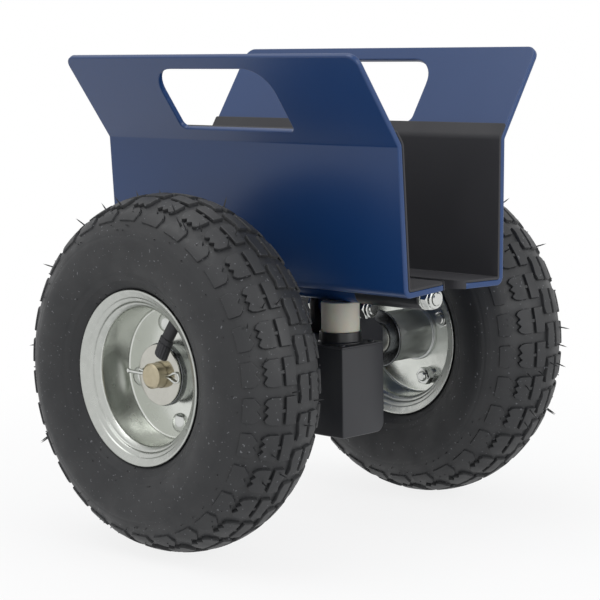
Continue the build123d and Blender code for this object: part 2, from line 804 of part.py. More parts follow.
for name, side in SIDES.items():
    plane = jaw_plane(side)
    bend_point = plane.from_local_coords((bend_out, bend_up, 0))
    flare_normal = plane.y_dir * sin(flare) - plane.x_dir * cos(flare)
    lip_normal = plane.y_dir * cos(lean) + plane.x_dir * sin(lean)
    with BuildPart() as jaw_plate:
        with BuildSketch(plane):
            add(jaw_section(lip_length, flare_height, plate))
        extrude(amount=jaw_length / 2, both=True)
        across_flare = Axis(bend_point, flare_normal)
        fillet(jaw_plate.edges().filter_by(across_flare), flare_corner)
        across_lip = Axis(bend_point, lip_normal)
        lip_edges = jaw_plate.edges().filter_by(across_lip).sort_by(lambda edge: abs(edge.center().Y))
        fillet(lip_edges[:2], lip_corner)
        with BuildSketch(Plane(bend_point, x_dir=plane.z_dir, z_dir=flare_normal)) as hand_hole:
            with Locations((0, hand_hole_bottom + hand_hole_height / 2)):
                Rectangle(hand_hole_length, hand_hole_height)
            fillet(hand_hole.vertices().group_by(Axis.Y)[-1], hand_hole_top_round)
            fillet(hand_hole.vertices().group_by(Axis.Y)[0], hand_hole_bottom_round)
        extrude(amount=plate * 2, both=True, mode=Mode.SUBTRACT)
    save(jaw_plate, f"{name}_jaw_plate")

    with BuildPart() as jaw_lining:
        lining_top = hand_hole_bottom - lining_below_hole
        with BuildSketch(plane):
            add(jaw_section(lip_length - lining_setback, lining_top, plate + lining))
            add(jaw_section(lip_length, flare_height, plate), mode=Mode.SUBTRACT)
        extrude(amount=jaw_length / 2, both=True)
    save(jaw_lining, f"{name}_jaw_lining")

# Pivot lugs under the lips, each with a bush for its bolt

for name, side in SIDES.items():
    with BuildPart() as pivot_lug:
        with BuildSketch(jaw_plane(side)):
            Polygon(
                (-lug_radius, 0),
                (lug_radius, 0),
                (corner_outset, lip_rise),
                (-lug_radius, lip_rise + (corner_outset + lug_radius) * tan(lean)),
                align=None,
            )
        extrude(amount=lug_length / 2, both=True)
        with BuildSketch(pivot_plane(side)):
            Circle(lug_radius)
        extrude(amount=lug_length / 2, both=True)
        with BuildSketch(pivot_plane(side)):
            Circle(bush_radius)
        extrude(amount=lug_length / 2, both=True, mode=Mode.SUBTRACT)
    save(pivot_lug, f"{name}_pivot_lug")

    with BuildPart() as pivot_bush:
        with BuildSketch(pivot_plane(side)):
            Circle(bush_radius - press_clearance)
            Circle(rod_radius + pivot_clearance, mode=Mode.SUBTRACT)
        extrude(amount=lug_length / 2, both=True)
    save(pivot_bush, f"{name}_pivot_bush")
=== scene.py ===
"""Looks of a two-wheel slab dolly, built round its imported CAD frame.

X runs along the jaws, Y along the axle and Z up. The near side is -Y and the far side +Y.
Sizes are in millimetres; a mesh is turned to metres when it becomes a piece.
"""

import logging
from collections.abc import Callable, Sequence
from dataclasses import dataclass, field
from enum import Enum
from functools import partial
from math import asin, atan2, ceil, cos, hypot, pi, radians, sin, tan

import bmesh
import bpy
from bmesh.types import BMesh
from bpy.types import ID, Material, Mesh, Node, NodeOutputs, NodeSocket, NodeTree, Object
from mathutils import Matrix, Vector
from mathutils.geometry import delaunay_2d_cdt


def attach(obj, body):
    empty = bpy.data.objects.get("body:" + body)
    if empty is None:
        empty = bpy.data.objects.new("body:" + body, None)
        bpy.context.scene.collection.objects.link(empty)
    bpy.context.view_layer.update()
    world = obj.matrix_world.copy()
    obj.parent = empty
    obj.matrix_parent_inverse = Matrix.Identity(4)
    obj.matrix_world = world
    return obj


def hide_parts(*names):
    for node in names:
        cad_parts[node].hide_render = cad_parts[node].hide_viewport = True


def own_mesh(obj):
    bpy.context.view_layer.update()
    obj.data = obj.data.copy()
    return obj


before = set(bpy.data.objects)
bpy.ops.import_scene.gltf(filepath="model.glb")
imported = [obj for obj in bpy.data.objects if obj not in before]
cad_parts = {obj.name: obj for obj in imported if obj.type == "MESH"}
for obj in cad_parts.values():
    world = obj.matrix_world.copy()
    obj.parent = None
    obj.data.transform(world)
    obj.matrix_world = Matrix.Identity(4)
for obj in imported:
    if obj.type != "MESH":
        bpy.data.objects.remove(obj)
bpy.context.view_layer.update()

log = logging.getLogger("slab_dolly")

MM = 0.001
IMAGE_PX = 600
SHARP_ANGLE = radians(32)
FULL_TURN = 2 * pi

# Sizes that several sub-assemblies share, the last of them the clearance between close faces
AXLE_HEIGHT = 135.0
PIVOT_OUT = 45.0
PIVOT_HEIGHT = 167.0
PLUNGER_X = 41.0
PLUNGER_RADIUS = 15.0
GAP = 0.02

# Limits of the mesh helpers: a zero length, the joining of close points, and the share of a side or
# of a mitre that a corner may use
ZERO = 1e-6
JOIN = 1e-5
WELD = 1e-4
CORNER_SHARE = 0.49
MITRE_LIMIT = 0.5
FLAT_RIM = 0.35

Point = tuple[float, float]
Corner = tuple[float, float, float]
Place = Callable[[float, float, float], Vector]
Shape = BMesh | Mesh


class Side(Enum):
    """The two sides of the dolly, by the sign of Y."""

    NEAR = -1
    FAR = 1

    @property
    def label(self) -> str:
        """Word that starts the names of this side's pieces."""
        return self.name.lower()


class Slot(Enum):
    """Material slots of the record."""

    BLUE = "blue_powder_coat"
    LINING = "lining_rubber"
    TYRE = "tyre_rubber"
    TUBE = "tube_rubber"
    ZINC = "zinc_plate"
    BLACK = "black_paint"
    NYLON = "nylon"
    STEEL = "plain_steel"
    BRONZE = "bearing_bronze"


# Materials


def linear(code: str) -> tuple[float, float, float, float]:
    """Turn an sRGB hex colour into linear RGBA.

    Args:
        code: Six hex digits after a hash.

    Returns:
        Linear red, green and blue with an alpha of one.
    """
    parts = [int(code[i:i + 2], 16) / 255 for i in (1, 3, 5)]
    red, green, blue = (p / 12.92 if p <= 0.04045 else ((p + 0.055) / 1.055) ** 2.4 for p in parts)
    return (red, green, blue, 1.0)


def add_node(
    tree: NodeTree, kind: str, inputs: dict[str | int, object] | None = None, **settings: object
) -> Node:
    """Add one node with its settings; an input given a socket is linked to it.

    Args:
        tree: Tree that takes the node.
        kind: Blender's name for the node type.
        inputs: Values or source sockets by input name or index.
        settings: Properties of the node itself.

    Returns:
        The new node.
    """
    node = tree.nodes.new(kind)
    for key, value in settings.items():
        setattr(node, key, value)
    for key, value in (inputs or {}).items():
        if isinstance(value, NodeSocket):
            tree.links.new(value, node.inputs[key])
        else:
            node.inputs[key].default_value = value
    return node


def per_mm(size: float) -> float:
    """Texture scale on metre coordinates for a feature of this many millimetres."""
    return 1 / (size * MM)


def noise(tree: NodeTree, spot: NodeSocket, size: float, **inputs: float) -> NodeSocket:
    """Socket of a soft noise with features of this many millimetres."""
    inputs = {"Vector": spot, "Scale": per_mm(size), **inputs}
    return add_node(tree, "ShaderNodeTexNoise", inputs).outputs["Fac"]


def ranged(tree: NodeTree, value: NodeSocket, span: Point, result: Point = (0.0, 1.0)) -> NodeSocket:
    """Socket of a value taken from one span to another and held within it."""
    ends = {"From Min": span[0], "From Max": span[1], "To Min": result[0], "To Max": result[1]}
    return add_node(tree, "ShaderNodeMapRange", {"Value": value, **ends}).outputs["Result"]


def maths(tree: NodeTree, operation: str, *values: object) -> NodeSocket:
    """Socket of one operation on values or sockets."""
    return add_node(tree, "ShaderNodeMath", dict(enumerate(values)), operation=operation).outputs[0]


@dataclass(frozen=True)
class Finish:
    """A real material with two tones, a mottle, a fine grain and the gloss its surface has."""

    name: str
    slot: Slot
    tone: str
    second_tone: str
    roughness: float
    rough_swing: float = 0.06
    metallic: float = 0.0
    mottle_mm: float = 20.0
    mottle_range: Point = (0.3, 0.7)
    grain_mm: float = 1.0
    grain_lift: float = 0.02
    specular: float = 0.5
    subsurface: float = 0.0
    subsurface_mm: float = 3.0
    speck_mm: float = 0.0
    speck_tone: str = "#000000"
    speck_range: Point = (0.71, 0.77)
    ring_mm: float = 0.0
    ring_lift: float = 0.015
    ring_waver: float = 1.5

    def material(self) -> Material:
        """Return this finish as a material, made the first time it is asked for."""
        return bpy.data.materials.get(self.name) or self.build()

    def build(self) -> Material:
        """Make the node material.

        Returns:
            The new material.
        """
        material = bpy.data.materials.new(self.name)
        material.use_nodes = True
        tree = material.node_tree
        shader = tree.nodes["Principled BSDF"]
        shader.inputs["Metallic"].default_value = self.metallic
        shader.inputs["Specular IOR Level"].default_value = self.specular
        shader.inputs["Subsurface Weight"].default_value = self.subsurface
        shader.inputs["Subsurface Scale"].default_value = self.subsurface_mm * MM
        spot = add_node(tree, "ShaderNodeTexCoord").outputs["Object"]
        mottle = noise(tree, spot, self.mottle_mm, Detail=4.0, Roughness=0.6)
        grain = noise(tree, spot, self.grain_mm, Detail=2.0)
        colour = self.mixed(tree, mottle, linear(self.tone), self.second_tone)
        if self.speck_mm:
            colour = self.specks(tree, spot, colour)
        tree.links.new(colour, shader.inputs["Base Color"])
        swing = (self.roughness - self.rough_swing, self.roughness + self.rough_swing)
        tree.links.new(ranged(tree, mottle, self.mottle_range, swing), shader.inputs["Roughness"])
        relief = {"Height": grain, "Strength": 1.0, "Distance": self.grain_lift * MM}
        bump = add_node(tree, "ShaderNodeBump", relief)
        if self.ring_mm:
            tree.links.new(self.ring_marks(tree, spot), bump.inputs["Normal"])
        tree.links.new(bump.outputs["Normal"], shader.inputs["Normal"])
        return material

    def mixed(self, tree: NodeTree, share: NodeSocket, first: object, second: str) -> NodeSocket:
        """Socket of a colour or its socket, mixed with a share of a second colour."""
        colours = {0: share, 6: first, 7: linear(second)}
        return add_node(tree, "ShaderNodeMix", colours, data_type="RGBA").outputs[2]

    def specks(self, tree: NodeTree, spot: NodeSocket, colour: NodeSocket) -> NodeSocket:
        """Socket of a colour with small pale specks of dust."""
        share = ranged(tree, noise(tree, spot, self.speck_mm, Detail=1.0), self.speck_range)
        return self.mixed(tree, share, colour, self.speck_tone)

    def ring_marks(self, tree: NodeTree, spot: NodeSocket) -> NodeSocket:
        """Add the drawing marks that run round the axle.

        Args:
            tree: Tree of the material.
            spot: Object coordinates.

        Returns:
            Socket of the marked normal.
        """
        centre = {"Vector": spot, "Location": (0.0, 0.0, -AXLE_HEIGHT * MM)}
        centred = add_node(tree, "ShaderNodeMapping", centre)
        # The wave has 20 / (2 pi) rings to a metre at a scale of one.
        scale = per_mm(self.ring_mm) * 2 * pi / 20
        marks = add_node(
            tree,
            "ShaderNodeTexWave",
            {"Vector": centred.outputs["Vector"], "Scale": scale, "Distortion": self.ring_waver},
            wave_type="RINGS",
            rings_direction="Y",
        )
        relief = {"Height": marks.outputs["Fac"], "Strength": 1.0, "Distance": self.ring_lift * MM}
        return add_node(tree, "ShaderNodeBump", relief).outputs["Normal"]


# Powder coat: melted paint with a faint orange peel, satin with a soft sheen at grazing light.
POWDER_COAT = Finish(
    "powder_coated_steel_blue", Slot.BLUE, "#113769", "#143b6e", 0.32, 0.02,
    mottle_mm=70, grain_mm=1.4, grain_lift=0.04, specular=0.48,
)
# Calendered sheet rubber: matte, dark grey where light grazes it, with a fine even grain.
SHEET_RUBBER = Finish(
    "sheet_rubber_black", Slot.LINING, "#242428", "#2b2b2f", 0.62, 0.05,
    mottle_mm=35, grain_mm=0.8, grain_lift=0.03,
)
# Tyre tread compound: carbon black rubber with a waxy grey sheen and a few specks of dust.
TYRE_RUBBER = Finish(
    "moulded_tyre_rubber", Slot.TYRE, "#1f2022", "#27282a", 0.56, 0.1,
    mottle_mm=18, grain_mm=1.2, grain_lift=0.06, speck_mm=2.2, speck_tone="#6a6b6e",
)
# Butyl rubber of the inner tube: smooth and dull black.
BUTYL_RUBBER = Finish("butyl_tube_rubber", Slot.TUBE, "#1b1b1c", "#222223", 0.6, mottle_mm=30, grain_mm=1.5)
# Moulded valve rubber: dull black with a slight grey bloom.
VALVE_RUBBER = Finish(
    "moulded_valve_rubber", Slot.TUBE, "#232326", "#2c2c30", 0.55, mottle_mm=6, grain_mm=0.7
)
# Bright zinc plate on pressed sheet: silver with a faint green grey cast and a slight ripple.
ZINC_SHEET = Finish(
    "bright_zinc_plated_sheet", Slot.ZINC, "#d5d7d2", "#c9ccc6", 0.23, 0.05, 1.0,
    mottle_mm=14, grain_mm=4.0, grain_lift=0.022,
)
# Zinc on the rolled flange: rubbed matte, with fine drawing marks round it.
ZINC_FLANGE = Finish(
    "matte_zinc_plated_flange", Slot.ZINC, "#bfc1bd", "#aeb1ac", 0.31, 0.07, 1.0,
    mottle_mm=6, grain_mm=1.2, grain_lift=0.02, ring_mm=1.1,
)
# Zinc plate on fasteners: smooth and bright.
ZINC_HARDWARE = Finish(
    "bright_zinc_plated_hardware", Slot.ZINC, "#d2d3d0", "#c3c6c3", 0.22, 0.05, 1.0,
    mottle_mm=5, grain_mm=0.8, grain_lift=0.01,
)
# Zinc on the hubs and the spacer sleeves: pale and duller than on the sheet.
ZINC_DULL = Finish(
    "dull_zinc_plated_sheet", Slot.ZINC, "#d9dbda", "#cccfcd", 0.42, 0.08, 1.0,
    mottle_mm=10, grain_mm=1.4, grain_lift=0.02,
)
# Yellow passivated steel of the axle: tan, with a soft shine.
AXLE_STEEL = Finish(
    "yellow_passivated_steel", Slot.STEEL, "#bdb49c", "#aca28a", 0.38, 0.06, 1.0,
    mottle_mm=4, grain_mm=0.6, grain_lift=0.02,
)
# Polished zinc on the stamped axle washers: a blurred mirror with a warm grey cast.
ZINC_POLISHED = Finish(
    "polished_zinc_plated_washer", Slot.ZINC, "#c2c1ba", "#b2b1a9", 0.12, 0.04, 1.0,
    mottle_mm=8, grain_mm=7.0, grain_lift=0.06,
)
# Bearing steel of the end caps, its grey darkened into painted shade and a painted dark reflection of the
# tyre by the hub, with a thin shine.
SHADE_PAINTED_BEARING_STEEL = Finish(
    "bearing_steel_painted_shade", Slot.STEEL, "#727475", "#606264", 0.26, 0.05, 1.0,
    mottle_mm=6, grain_mm=0.8, grain_lift=0.01,
)
# Bright steel of the springs, balls and inner rings: grey, clean and smooth.
TURNED_STEEL = Finish(
    "turned_bright_steel", Slot.STEEL, "#b9b8b2", "#a9a8a2", 0.3, 0.06, 1.0,
    mottle_mm=6, grain_mm=0.5, grain_lift=0.01,
)
# Black stoving enamel: satin, with a thin shine and slight texture.
BLACK_ENAMEL = Finish(
    "satin_black_enamel", Slot.BLACK, "#25262a", "#2c2d31", 0.38, 0.05,
    mottle_mm=40, grain_mm=1.0, grain_lift=0.02,
)
# Guide collars: a deeper black than the housing's enamel, with an oily shine.
DEEP_BLACK_COLLAR = Finish(
    "deep_black_collar_steel", Slot.BLACK, "#18191b", "#1e1f21", 0.33, 0.05,
    mottle_mm=12, grain_mm=0.8, grain_lift=0.015,
)
# Natural nylon rod: milky cream, light goes a little way in.
NYLON_ROD = Finish(
    "natural_nylon", Slot.NYLON, "#dfdaca", "#d6d0be", 0.45, 0.05, mottle_mm=18, grain_mm=0.9, subsurface=0.4
)
# Sintered bronze of the pivot bushes: warm, dull and slightly porous.
BRONZE = Finish(
    "sintered_bronze", Slot.BRONZE, "#a9804a", "#97703d", 0.45, 0.05, 1.0, mottle_mm=3, grain_mm=0.4
)


# Mesh helpers


def around(items: Sequence) -> list:
    """The items of a closed loop, each paired with the one after it."""
    return list(zip(items, [*items[1:], items[0]]))


def rounded(corners: Sequence[Corner], closed: bool = True, steps: int = 5) -> list[Point]:
    """Replace the corners of a polygon with arcs.

    Args:
        corners: Points, each with the radius of its corner.
        closed: Whether the last point joins the first.
        steps: Parts of each arc.

    Returns:
        The points of the rounded polygon.
    """
    points: list[Point] = []
    count = len(corners)
    for index, (x, y, radius) in enumerate(corners):
        if radius <= 0 or (not closed and index in (0, count - 1)):
            points.append((x, y))
            continue
        here = Vector((x, y))
        before = Vector(corners[index - 1][:2]) - here
        after = Vector(corners[(index + 1) % count][:2]) - here
        half = before.angle(after) / 2
        reach = min(radius / tan(half), CORNER_SHARE * before.length, CORNER_SHARE * after.length)
        middle = here + (before.normalized() + after.normalized()).normalized() * (reach / cos(half))
        first = here + before.normalized() * reach - middle
        last = here + after.normalized() * reach - middle
        start = atan2(first.y, first.x)
        sweep = (atan2(last.y, last.x) - start + pi) % FULL_TURN - pi
        for step in range(steps + 1):
            angle = start + sweep * step / steps
            points.append((middle.x + first.length * cos(angle), middle.y + first.length * sin(angle)))
    return points


def arc(middle: Point, radius: float, start: float, end: float, steps: int) -> list[Point]:
    """Points along an arc between two angles in radians, both ends included."""
    angles = [start + (end - start) * step / steps for step in range(steps + 1)]
    return [(middle[0] + radius * cos(a), middle[1] + radius * sin(a)) for a in angles]


def circle(middle: Point, radius: float, steps: int) -> list[Point]:
    """Points round a full circle, none of them twice."""
    return arc(middle, radius, 0, FULL_TURN, steps)[:-1]


def turned(mesh: BMesh, section: Sequence[Point], steps: int, place: Matrix) -> None:
    """Turn a closed section about the local Z axis.

    Args:
        mesh: Mesh that takes the faces.
        section: Points of the section as height along the axis and radius.
        steps: Parts of the full turn.
        place: Where the local axes go.
    """
    rings = []
    for height, radius in section:
        if radius < ZERO:
            rings.append([mesh.verts.new(place @ Vector((0, 0, height)))] * steps)
            continue
        ring = []
        for step in range(steps):
            angle = FULL_TURN * step / steps
            ring.append(mesh.verts.new(place @ Vector((radius * cos(angle), radius * sin(angle), height))))
        rings.append(ring)
    for ring, following in around(rings):
        for step in range(steps):
            after = (step + 1) % steps
            corners = list(dict.fromkeys((ring[step], ring[after], following[after], following[step])))
            if len(corners) > 2:
                mesh.faces.new(corners)


def turned_at(section: Sequence[Point], steps: int, *places: Matrix) -> BMesh:
    """Turn a closed section at each of some placements.

    Args:
        section: Points of the section as height along the axis and radius.
        steps: Parts of the full turn.
        places: Where the local axes go.

    Returns:
        A new mesh.
    """
    mesh = bmesh.new()
    for place in places:
        turned(mesh, section, steps, place)
    return mesh


def loft(mesh: BMesh, rings: Sequence[Sequence[Vector]]) -> None:
    """Join closed rings of equal count, the last one back to the first.

    Args:
        mesh: Mesh that takes the faces.
        rings: Points of each ring.
    """
    made = [[mesh.verts.new(point) for point in ring] for ring in rings]
    count = len(made[0])
    for ring, following in around(made):
        for step in range(count):
            after = (step + 1) % count
            mesh.faces.new((ring[step], ring[after], following[after], following[step]))


def inside(point: Point, loop: Sequence[Point]) -> bool:
    """Say whether a point lies in a closed loop.

    Args:
        point: The point.
        loop: Points of the loop.

    Returns:
        True where the point is inside.
    """
    x, y = point
    found = False
    for (x0, y0), (x1, y1) in around(loop):
        if (y0 > y) != (y1 > y) and x < (x1 - x0) * (y - y0) / (y1 - y0) + x0:
            found = not found
    return found


def area_of(loop: Sequence[Point]) -> float:
    """Signed area of a closed loop, positive when it runs anticlockwise."""
    return sum(a[0] * b[1] - b[0] * a[1] for a, b in around(loop)) / 2


def inset(loop: Sequence[Point], amount: float) -> list[Point]:
    """Move a loop to the left of its direction, with mitred corners.

    Args:
        loop: Points of the closed loop.
        amount: How far each side moves.

    Returns:
        The points of the moved loop, one for each given.
    """
    moved = []
    count = len(loop)
    for index in range(count):
        here = Vector(loop[index])
        before = (here - Vector(loop[index - 1])).normalized()
        after = (Vector(loop[(index + 1) % count]) - here).normalized()
        left = [Vector((-d.y, d.x)) for d in (before, after)]
        middle = left[0] + left[1]
        if middle.length < ZERO:
            middle = left[0]
        middle.normalize()
        moved.append(tuple(here + middle * (amount / max(MITRE_LIMIT, middle.dot(left[0])))))
    return moved


def sheet(
    mesh: BMesh,
    outline: Sequence[Point],
    holes: Sequence[Sequence[Point]],
    levels: Sequence[Point],
    place: Place,
    inner_points: Sequence[Point] = (),
) -> None:
    """Make a plate with rounded or chamfered edges, flat or bent.

    Args:
        mesh: Mesh that takes the faces.
        outline: Closed outer loop.
        holes: Closed loops cut out of it.
        levels: Edge section from one face to the other, as distance in from the loop and height.
        place: Where a flat point at a height goes.
        inner_points: Points inside the faces, so that they can follow a bend.
    """
    loops = [list(outline) if area_of(outline) > 0 else list(reversed(outline))]
    loops += [list(hole) if area_of(hole) < 0 else list(reversed(hole)) for hole in holes]
    bands = []
    for loop in loops:
        rings = []
        for depth, height in levels:
            flat = inset(loop, depth) if depth else loop
            rings.append((flat, [mesh.verts.new(place(x, y, height)) for x, y in flat]))
        for (_, ring), (_, following) in zip(rings, rings[1:]):
            for step in range(len(ring)):
                after = (step + 1) % len(ring)
                mesh.faces.new((ring[step], following[step], following[after], ring[after]))
        bands.append(rings)
    for end, height in ((0, levels[0][1]), (-1, levels[-1][1])):
        flat, verts, edges = [], [], []
        for rings in bands:
            start = len(flat)
            flat += rings[end][0]
            verts += rings[end][1]
            count = len(rings[end][0])
            edges += [(start + step, start + (step + 1) % count) for step in range(count)]
        rim = [rings[end][0] for rings in bands]
        points = [Vector(p) for p in flat] + [Vector(p) for p in inner_points if clear(p, rim)]
        found, _, faces, origin, _, _ = delaunay_2d_cdt(points, edges, [], 0, JOIN)
        corners = []
        for point, sources in zip(found, origin):
            known = [i for i in sources if i < len(verts)]
            corners.append(verts[known[0]] if known else mesh.verts.new(place(point.x, point.y, height)))
        for face in faces:
            middle = sum((found[i] for i in face), Vector((0, 0))) / len(face)
            if within(tuple(middle), rim):
                ring = list(dict.fromkeys(corners[i] for i in (face if end == 0 else reversed(face))))
                if len(ring) > 2:
                    mesh.faces.new(ring)


def within(point: Point, loops: Sequence[Sequence[Point]]) -> bool:
    """Whether a point is inside the first loop and outside the others."""
    return inside(point, loops[0]) and not any(inside(point, loop) for loop in loops[1:])


def clear(point: Point, loops: Sequence[Sequence[Point]], room: float = 0.8) -> bool:
    """Say whether a point is within the loops and some way from all of them.

    Args:
        point: The point.
        loops: Outer loop, then the holes.
        room: Least distance from a loop.

    Returns:
        True where the point is clear.
    """
    if not within(point, loops):
        return False
    here = Vector(point)
    for loop in loops:
        for a, b in around(loop):
            start, run = Vector(a), Vector(b) - Vector(a)
            share = max(0.0, min(1.0, (here - start).dot(run) / max(run.length_squared, ZERO ** 2)))
            if (start + run * share - here).length < room:
                return False
    return True


def edge_levels(low: float, high: float, radius: float, steps: int = 4) -> list[Point]:
    """Edge section of a plate with both edges rounded, with a narrow flat rim that keeps the faces flat.

    Args:
        low: Height of the lower face.
        high: Height of the upper face.
        radius: Radius of both edges.
        steps: Parts of each edge.

    Returns:
        Distance in from the outline and height, from the upper face to the lower.
    """
    turns = [pi / 2 * step / steps for step in range(steps + 1)]
    upper = [(radius * (1 - sin(t)), high - radius * (1 - cos(t))) for t in turns]
    lower = [(radius * (1 - cos(t)), low + radius * (1 - sin(t))) for t in turns]
    return [(radius + FLAT_RIM, high), *upper, *lower, (radius + FLAT_RIM, low)]


def densify(loop: Sequence[Point], spacing: float) -> list[Point]:
    """Add points along the sides of a loop so that none is longer than the spacing.

    Args:
        loop: Points of the closed loop.
        spacing: Longest side allowed.

    Returns:
        The points of the denser loop.
    """
    points: list[Point] = []
    for start, end in around(loop):
        count = max(1, ceil(hypot(end[0] - start[0], end[1] - start[1]) / spacing))
        for step in range(count):
            share = step / count
            points.append((start[0] + (end[0] - start[0]) * share, start[1] + (end[1] - start[1]) * share))
    return points


def circle_through(a: Point, b: Point, c: Point) -> tuple[Point, float]:
    """Find the circle through three points.

    Args:
        a: First point.
        b: Second point.
        c: Third point.

    Returns:
        Middle and radius of the circle.
    """
    d = 2 * (a[0] * (b[1] - c[1]) + b[0] * (c[1] - a[1]) + c[0] * (a[1] - b[1]))
    squares = [p[0] ** 2 + p[1] ** 2 for p in (a, b, c)]
    x = (squares[0] * (b[1] - c[1]) + squares[1] * (c[1] - a[1]) + squares[2] * (a[1] - b[1])) / d
    y = (squares[0] * (c[0] - b[0]) + squares[1] * (a[0] - c[0]) + squares[2] * (b[0] - a[0])) / d
    return (x, y), hypot(a[0] - x, a[1] - y)


def angle_of(point: Point, middle: Point) -> float:
    """Angle at which a point lies from a middle."""
    return atan2(point[1] - middle[1], point[0] - middle[0])


def blend(first: float, last: float, share: float) -> float:
    """Smooth change from one value to another as the share goes from zero to one."""
    part = max(0.0, min(1.0, share))
    return first + (last - first) * part * part * (3 - 2 * part)


def depth_of_lines(lines: Sequence[Corner], spot: float) -> float:
    """Depth at a spot of peaked lines, each given as its middle, depth and half width."""
    return sum(depth * max(0.0, 1 - abs(spot - middle) / width) for middle, depth, width in lines)


def ring_section(low: float, high: float, inner: float, outer: float, edge: float) -> list[Point]:
    """Section of a ring about its axis, with rounded edges."""
    corners = ((low, inner), (low, outer), (high, outer), (high, inner))
    return rounded([(*corner, edge) for corner in corners], steps=3)


def linked(name: str, data: ID) -> Object:
    """Make an object in the scene.

    Args:
        name: Name of the object.
        data: Its mesh, curve, camera or lamp.

    Returns:
        The object.
    """
    made = bpy.data.objects.new(name, data)
    bpy.context.scene.collection.objects.link(made)
    return made


def in_metres(place: Matrix) -> Matrix:
    """The same placement with its shift in metres."""
    return Matrix.Translation(place.translation * MM) @ place.to_3x3().to_4x4()


def along(start: Sequence[float], direction: Sequence[float]) -> Matrix:
    """Placement whose local Z runs from a point in a direction."""
    return Matrix.Translation(start) @ Vector(direction).to_track_quat("Z", "Y").to_matrix().to_4x4()


def make_mesh(name: str, mesh: BMesh, sharp: float = SHARP_ANGLE) -> Mesh:
    """Close, shade and write a mesh built in millimetres.

    Args:
        name: Name of the mesh.
        mesh: Faces in millimetres; it is freed.
        sharp: Angle between faces beyond which an edge stays sharp.

    Returns:
        The mesh in metres.
    """
    bmesh.ops.remove_doubles(mesh, verts=mesh.verts, dist=WELD)
    bmesh.ops.recalc_face_normals(mesh, faces=mesh.faces)
    for face in mesh.faces:
        face.smooth = True
    for edge in mesh.edges:
        edge.smooth = edge.calc_face_angle(0) < sharp
    mesh.transform(Matrix.Scale(MM, 4))
    made = bpy.data.meshes.new(name)
    mesh.to_mesh(made)
    mesh.free()
    return made


def wire(name: str, path: Sequence[tuple[float, float, float, float]], radius: float) -> Mesh:
    """Make a round wire along a smooth line, shaded smooth.

    Args:
        name: Name of the mesh.
        path: Control points in millimetres, each with its share of the radius.
        radius: Radius of the wire.

    Returns:
        The mesh in metres.
    """
    curve = bpy.data.curves.new(name, "CURVE")
    curve.dimensions = "3D"
    curve.bevel_depth = radius * MM
    curve.bevel_resolution = 4
    curve.use_fill_caps = True
    spline = curve.splines.new("NURBS")
    spline.points.add(len(path) - 1)
    for point, (x, y, z, share) in zip(spline.points, path):
        point.co = (x * MM, y * MM, z * MM, 1.0)
        point.radius = share
    spline.use_endpoint_u = True
    spline.order_u = 3
    holder = linked(name, curve)
    graph = bpy.context.evaluated_depsgraph_get()
    made = bpy.data.meshes.new_from_object(holder.evaluated_get(graph))
    bpy.data.objects.remove(holder)
    made.materials.clear()
    for polygon in made.polygons:
        polygon.use_smooth = True
    return made


def joined(name: str, meshes: Sequence[Mesh]) -> Mesh:
    """Merge meshes that share one material into a single mesh.

    Args:
        name: Name of the new mesh.
        meshes: Meshes in metres.

    Returns:
        The merged mesh.
    """
    whole = bmesh.new()
    for part in meshes:
        whole.from_mesh(part)
    made = bpy.data.meshes.new(name)
    whole.to_mesh(made)
    whole.free()
    for material in meshes[0].materials:
        made.materials.append(material)
    return made


def publish(
    name: str,
    shape: Shape,
    finish: Finish,
    body: str,
    nodes: Sequence[str] = (),
    sharp: float = SHARP_ANGLE,
) -> Object:
    """Put a finished shape on its body.

    Args:
        name: Name of the piece.
        shape: Faces in millimetres, or a mesh in metres, already in place.
        finish: Finish of the whole piece, unless the mesh brings its own.
        body: CAD body that carries it.
        nodes: CAD nodes that it stands for.
        sharp: Angle between faces in millimetres beyond which an edge stays sharp.

    Returns:
        The piece.
    """
    mesh = make_mesh(name, shape, sharp) if isinstance(shape, BMesh) else shape
    piece = linked(name, mesh)
    if not mesh.materials:
        mesh.materials.append(finish.material())
    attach(piece, body)
    if nodes:
        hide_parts(*nodes)
    log.info("%s on %s: %d faces, %s", name, body, len(mesh.polygons), finish.name)
    return piece


# Repeats by Geometry Nodes


class Repeat(Enum):
    """Ways in which a small shape repeats."""

    RING = "repeat_round_axis"
    GRID = "repeat_on_grid"
    SCATTER = "scatter_round_axis"


REPEAT_INPUTS = {
    Repeat.RING: ("Count", "Phase"),
    Repeat.GRID: ("Spacing X", "Spacing Y"),
    Repeat.SCATTER: ("Count", "Start", "End", "Seed"),
}
WHOLE_NUMBERS = ("Count", "Seed")


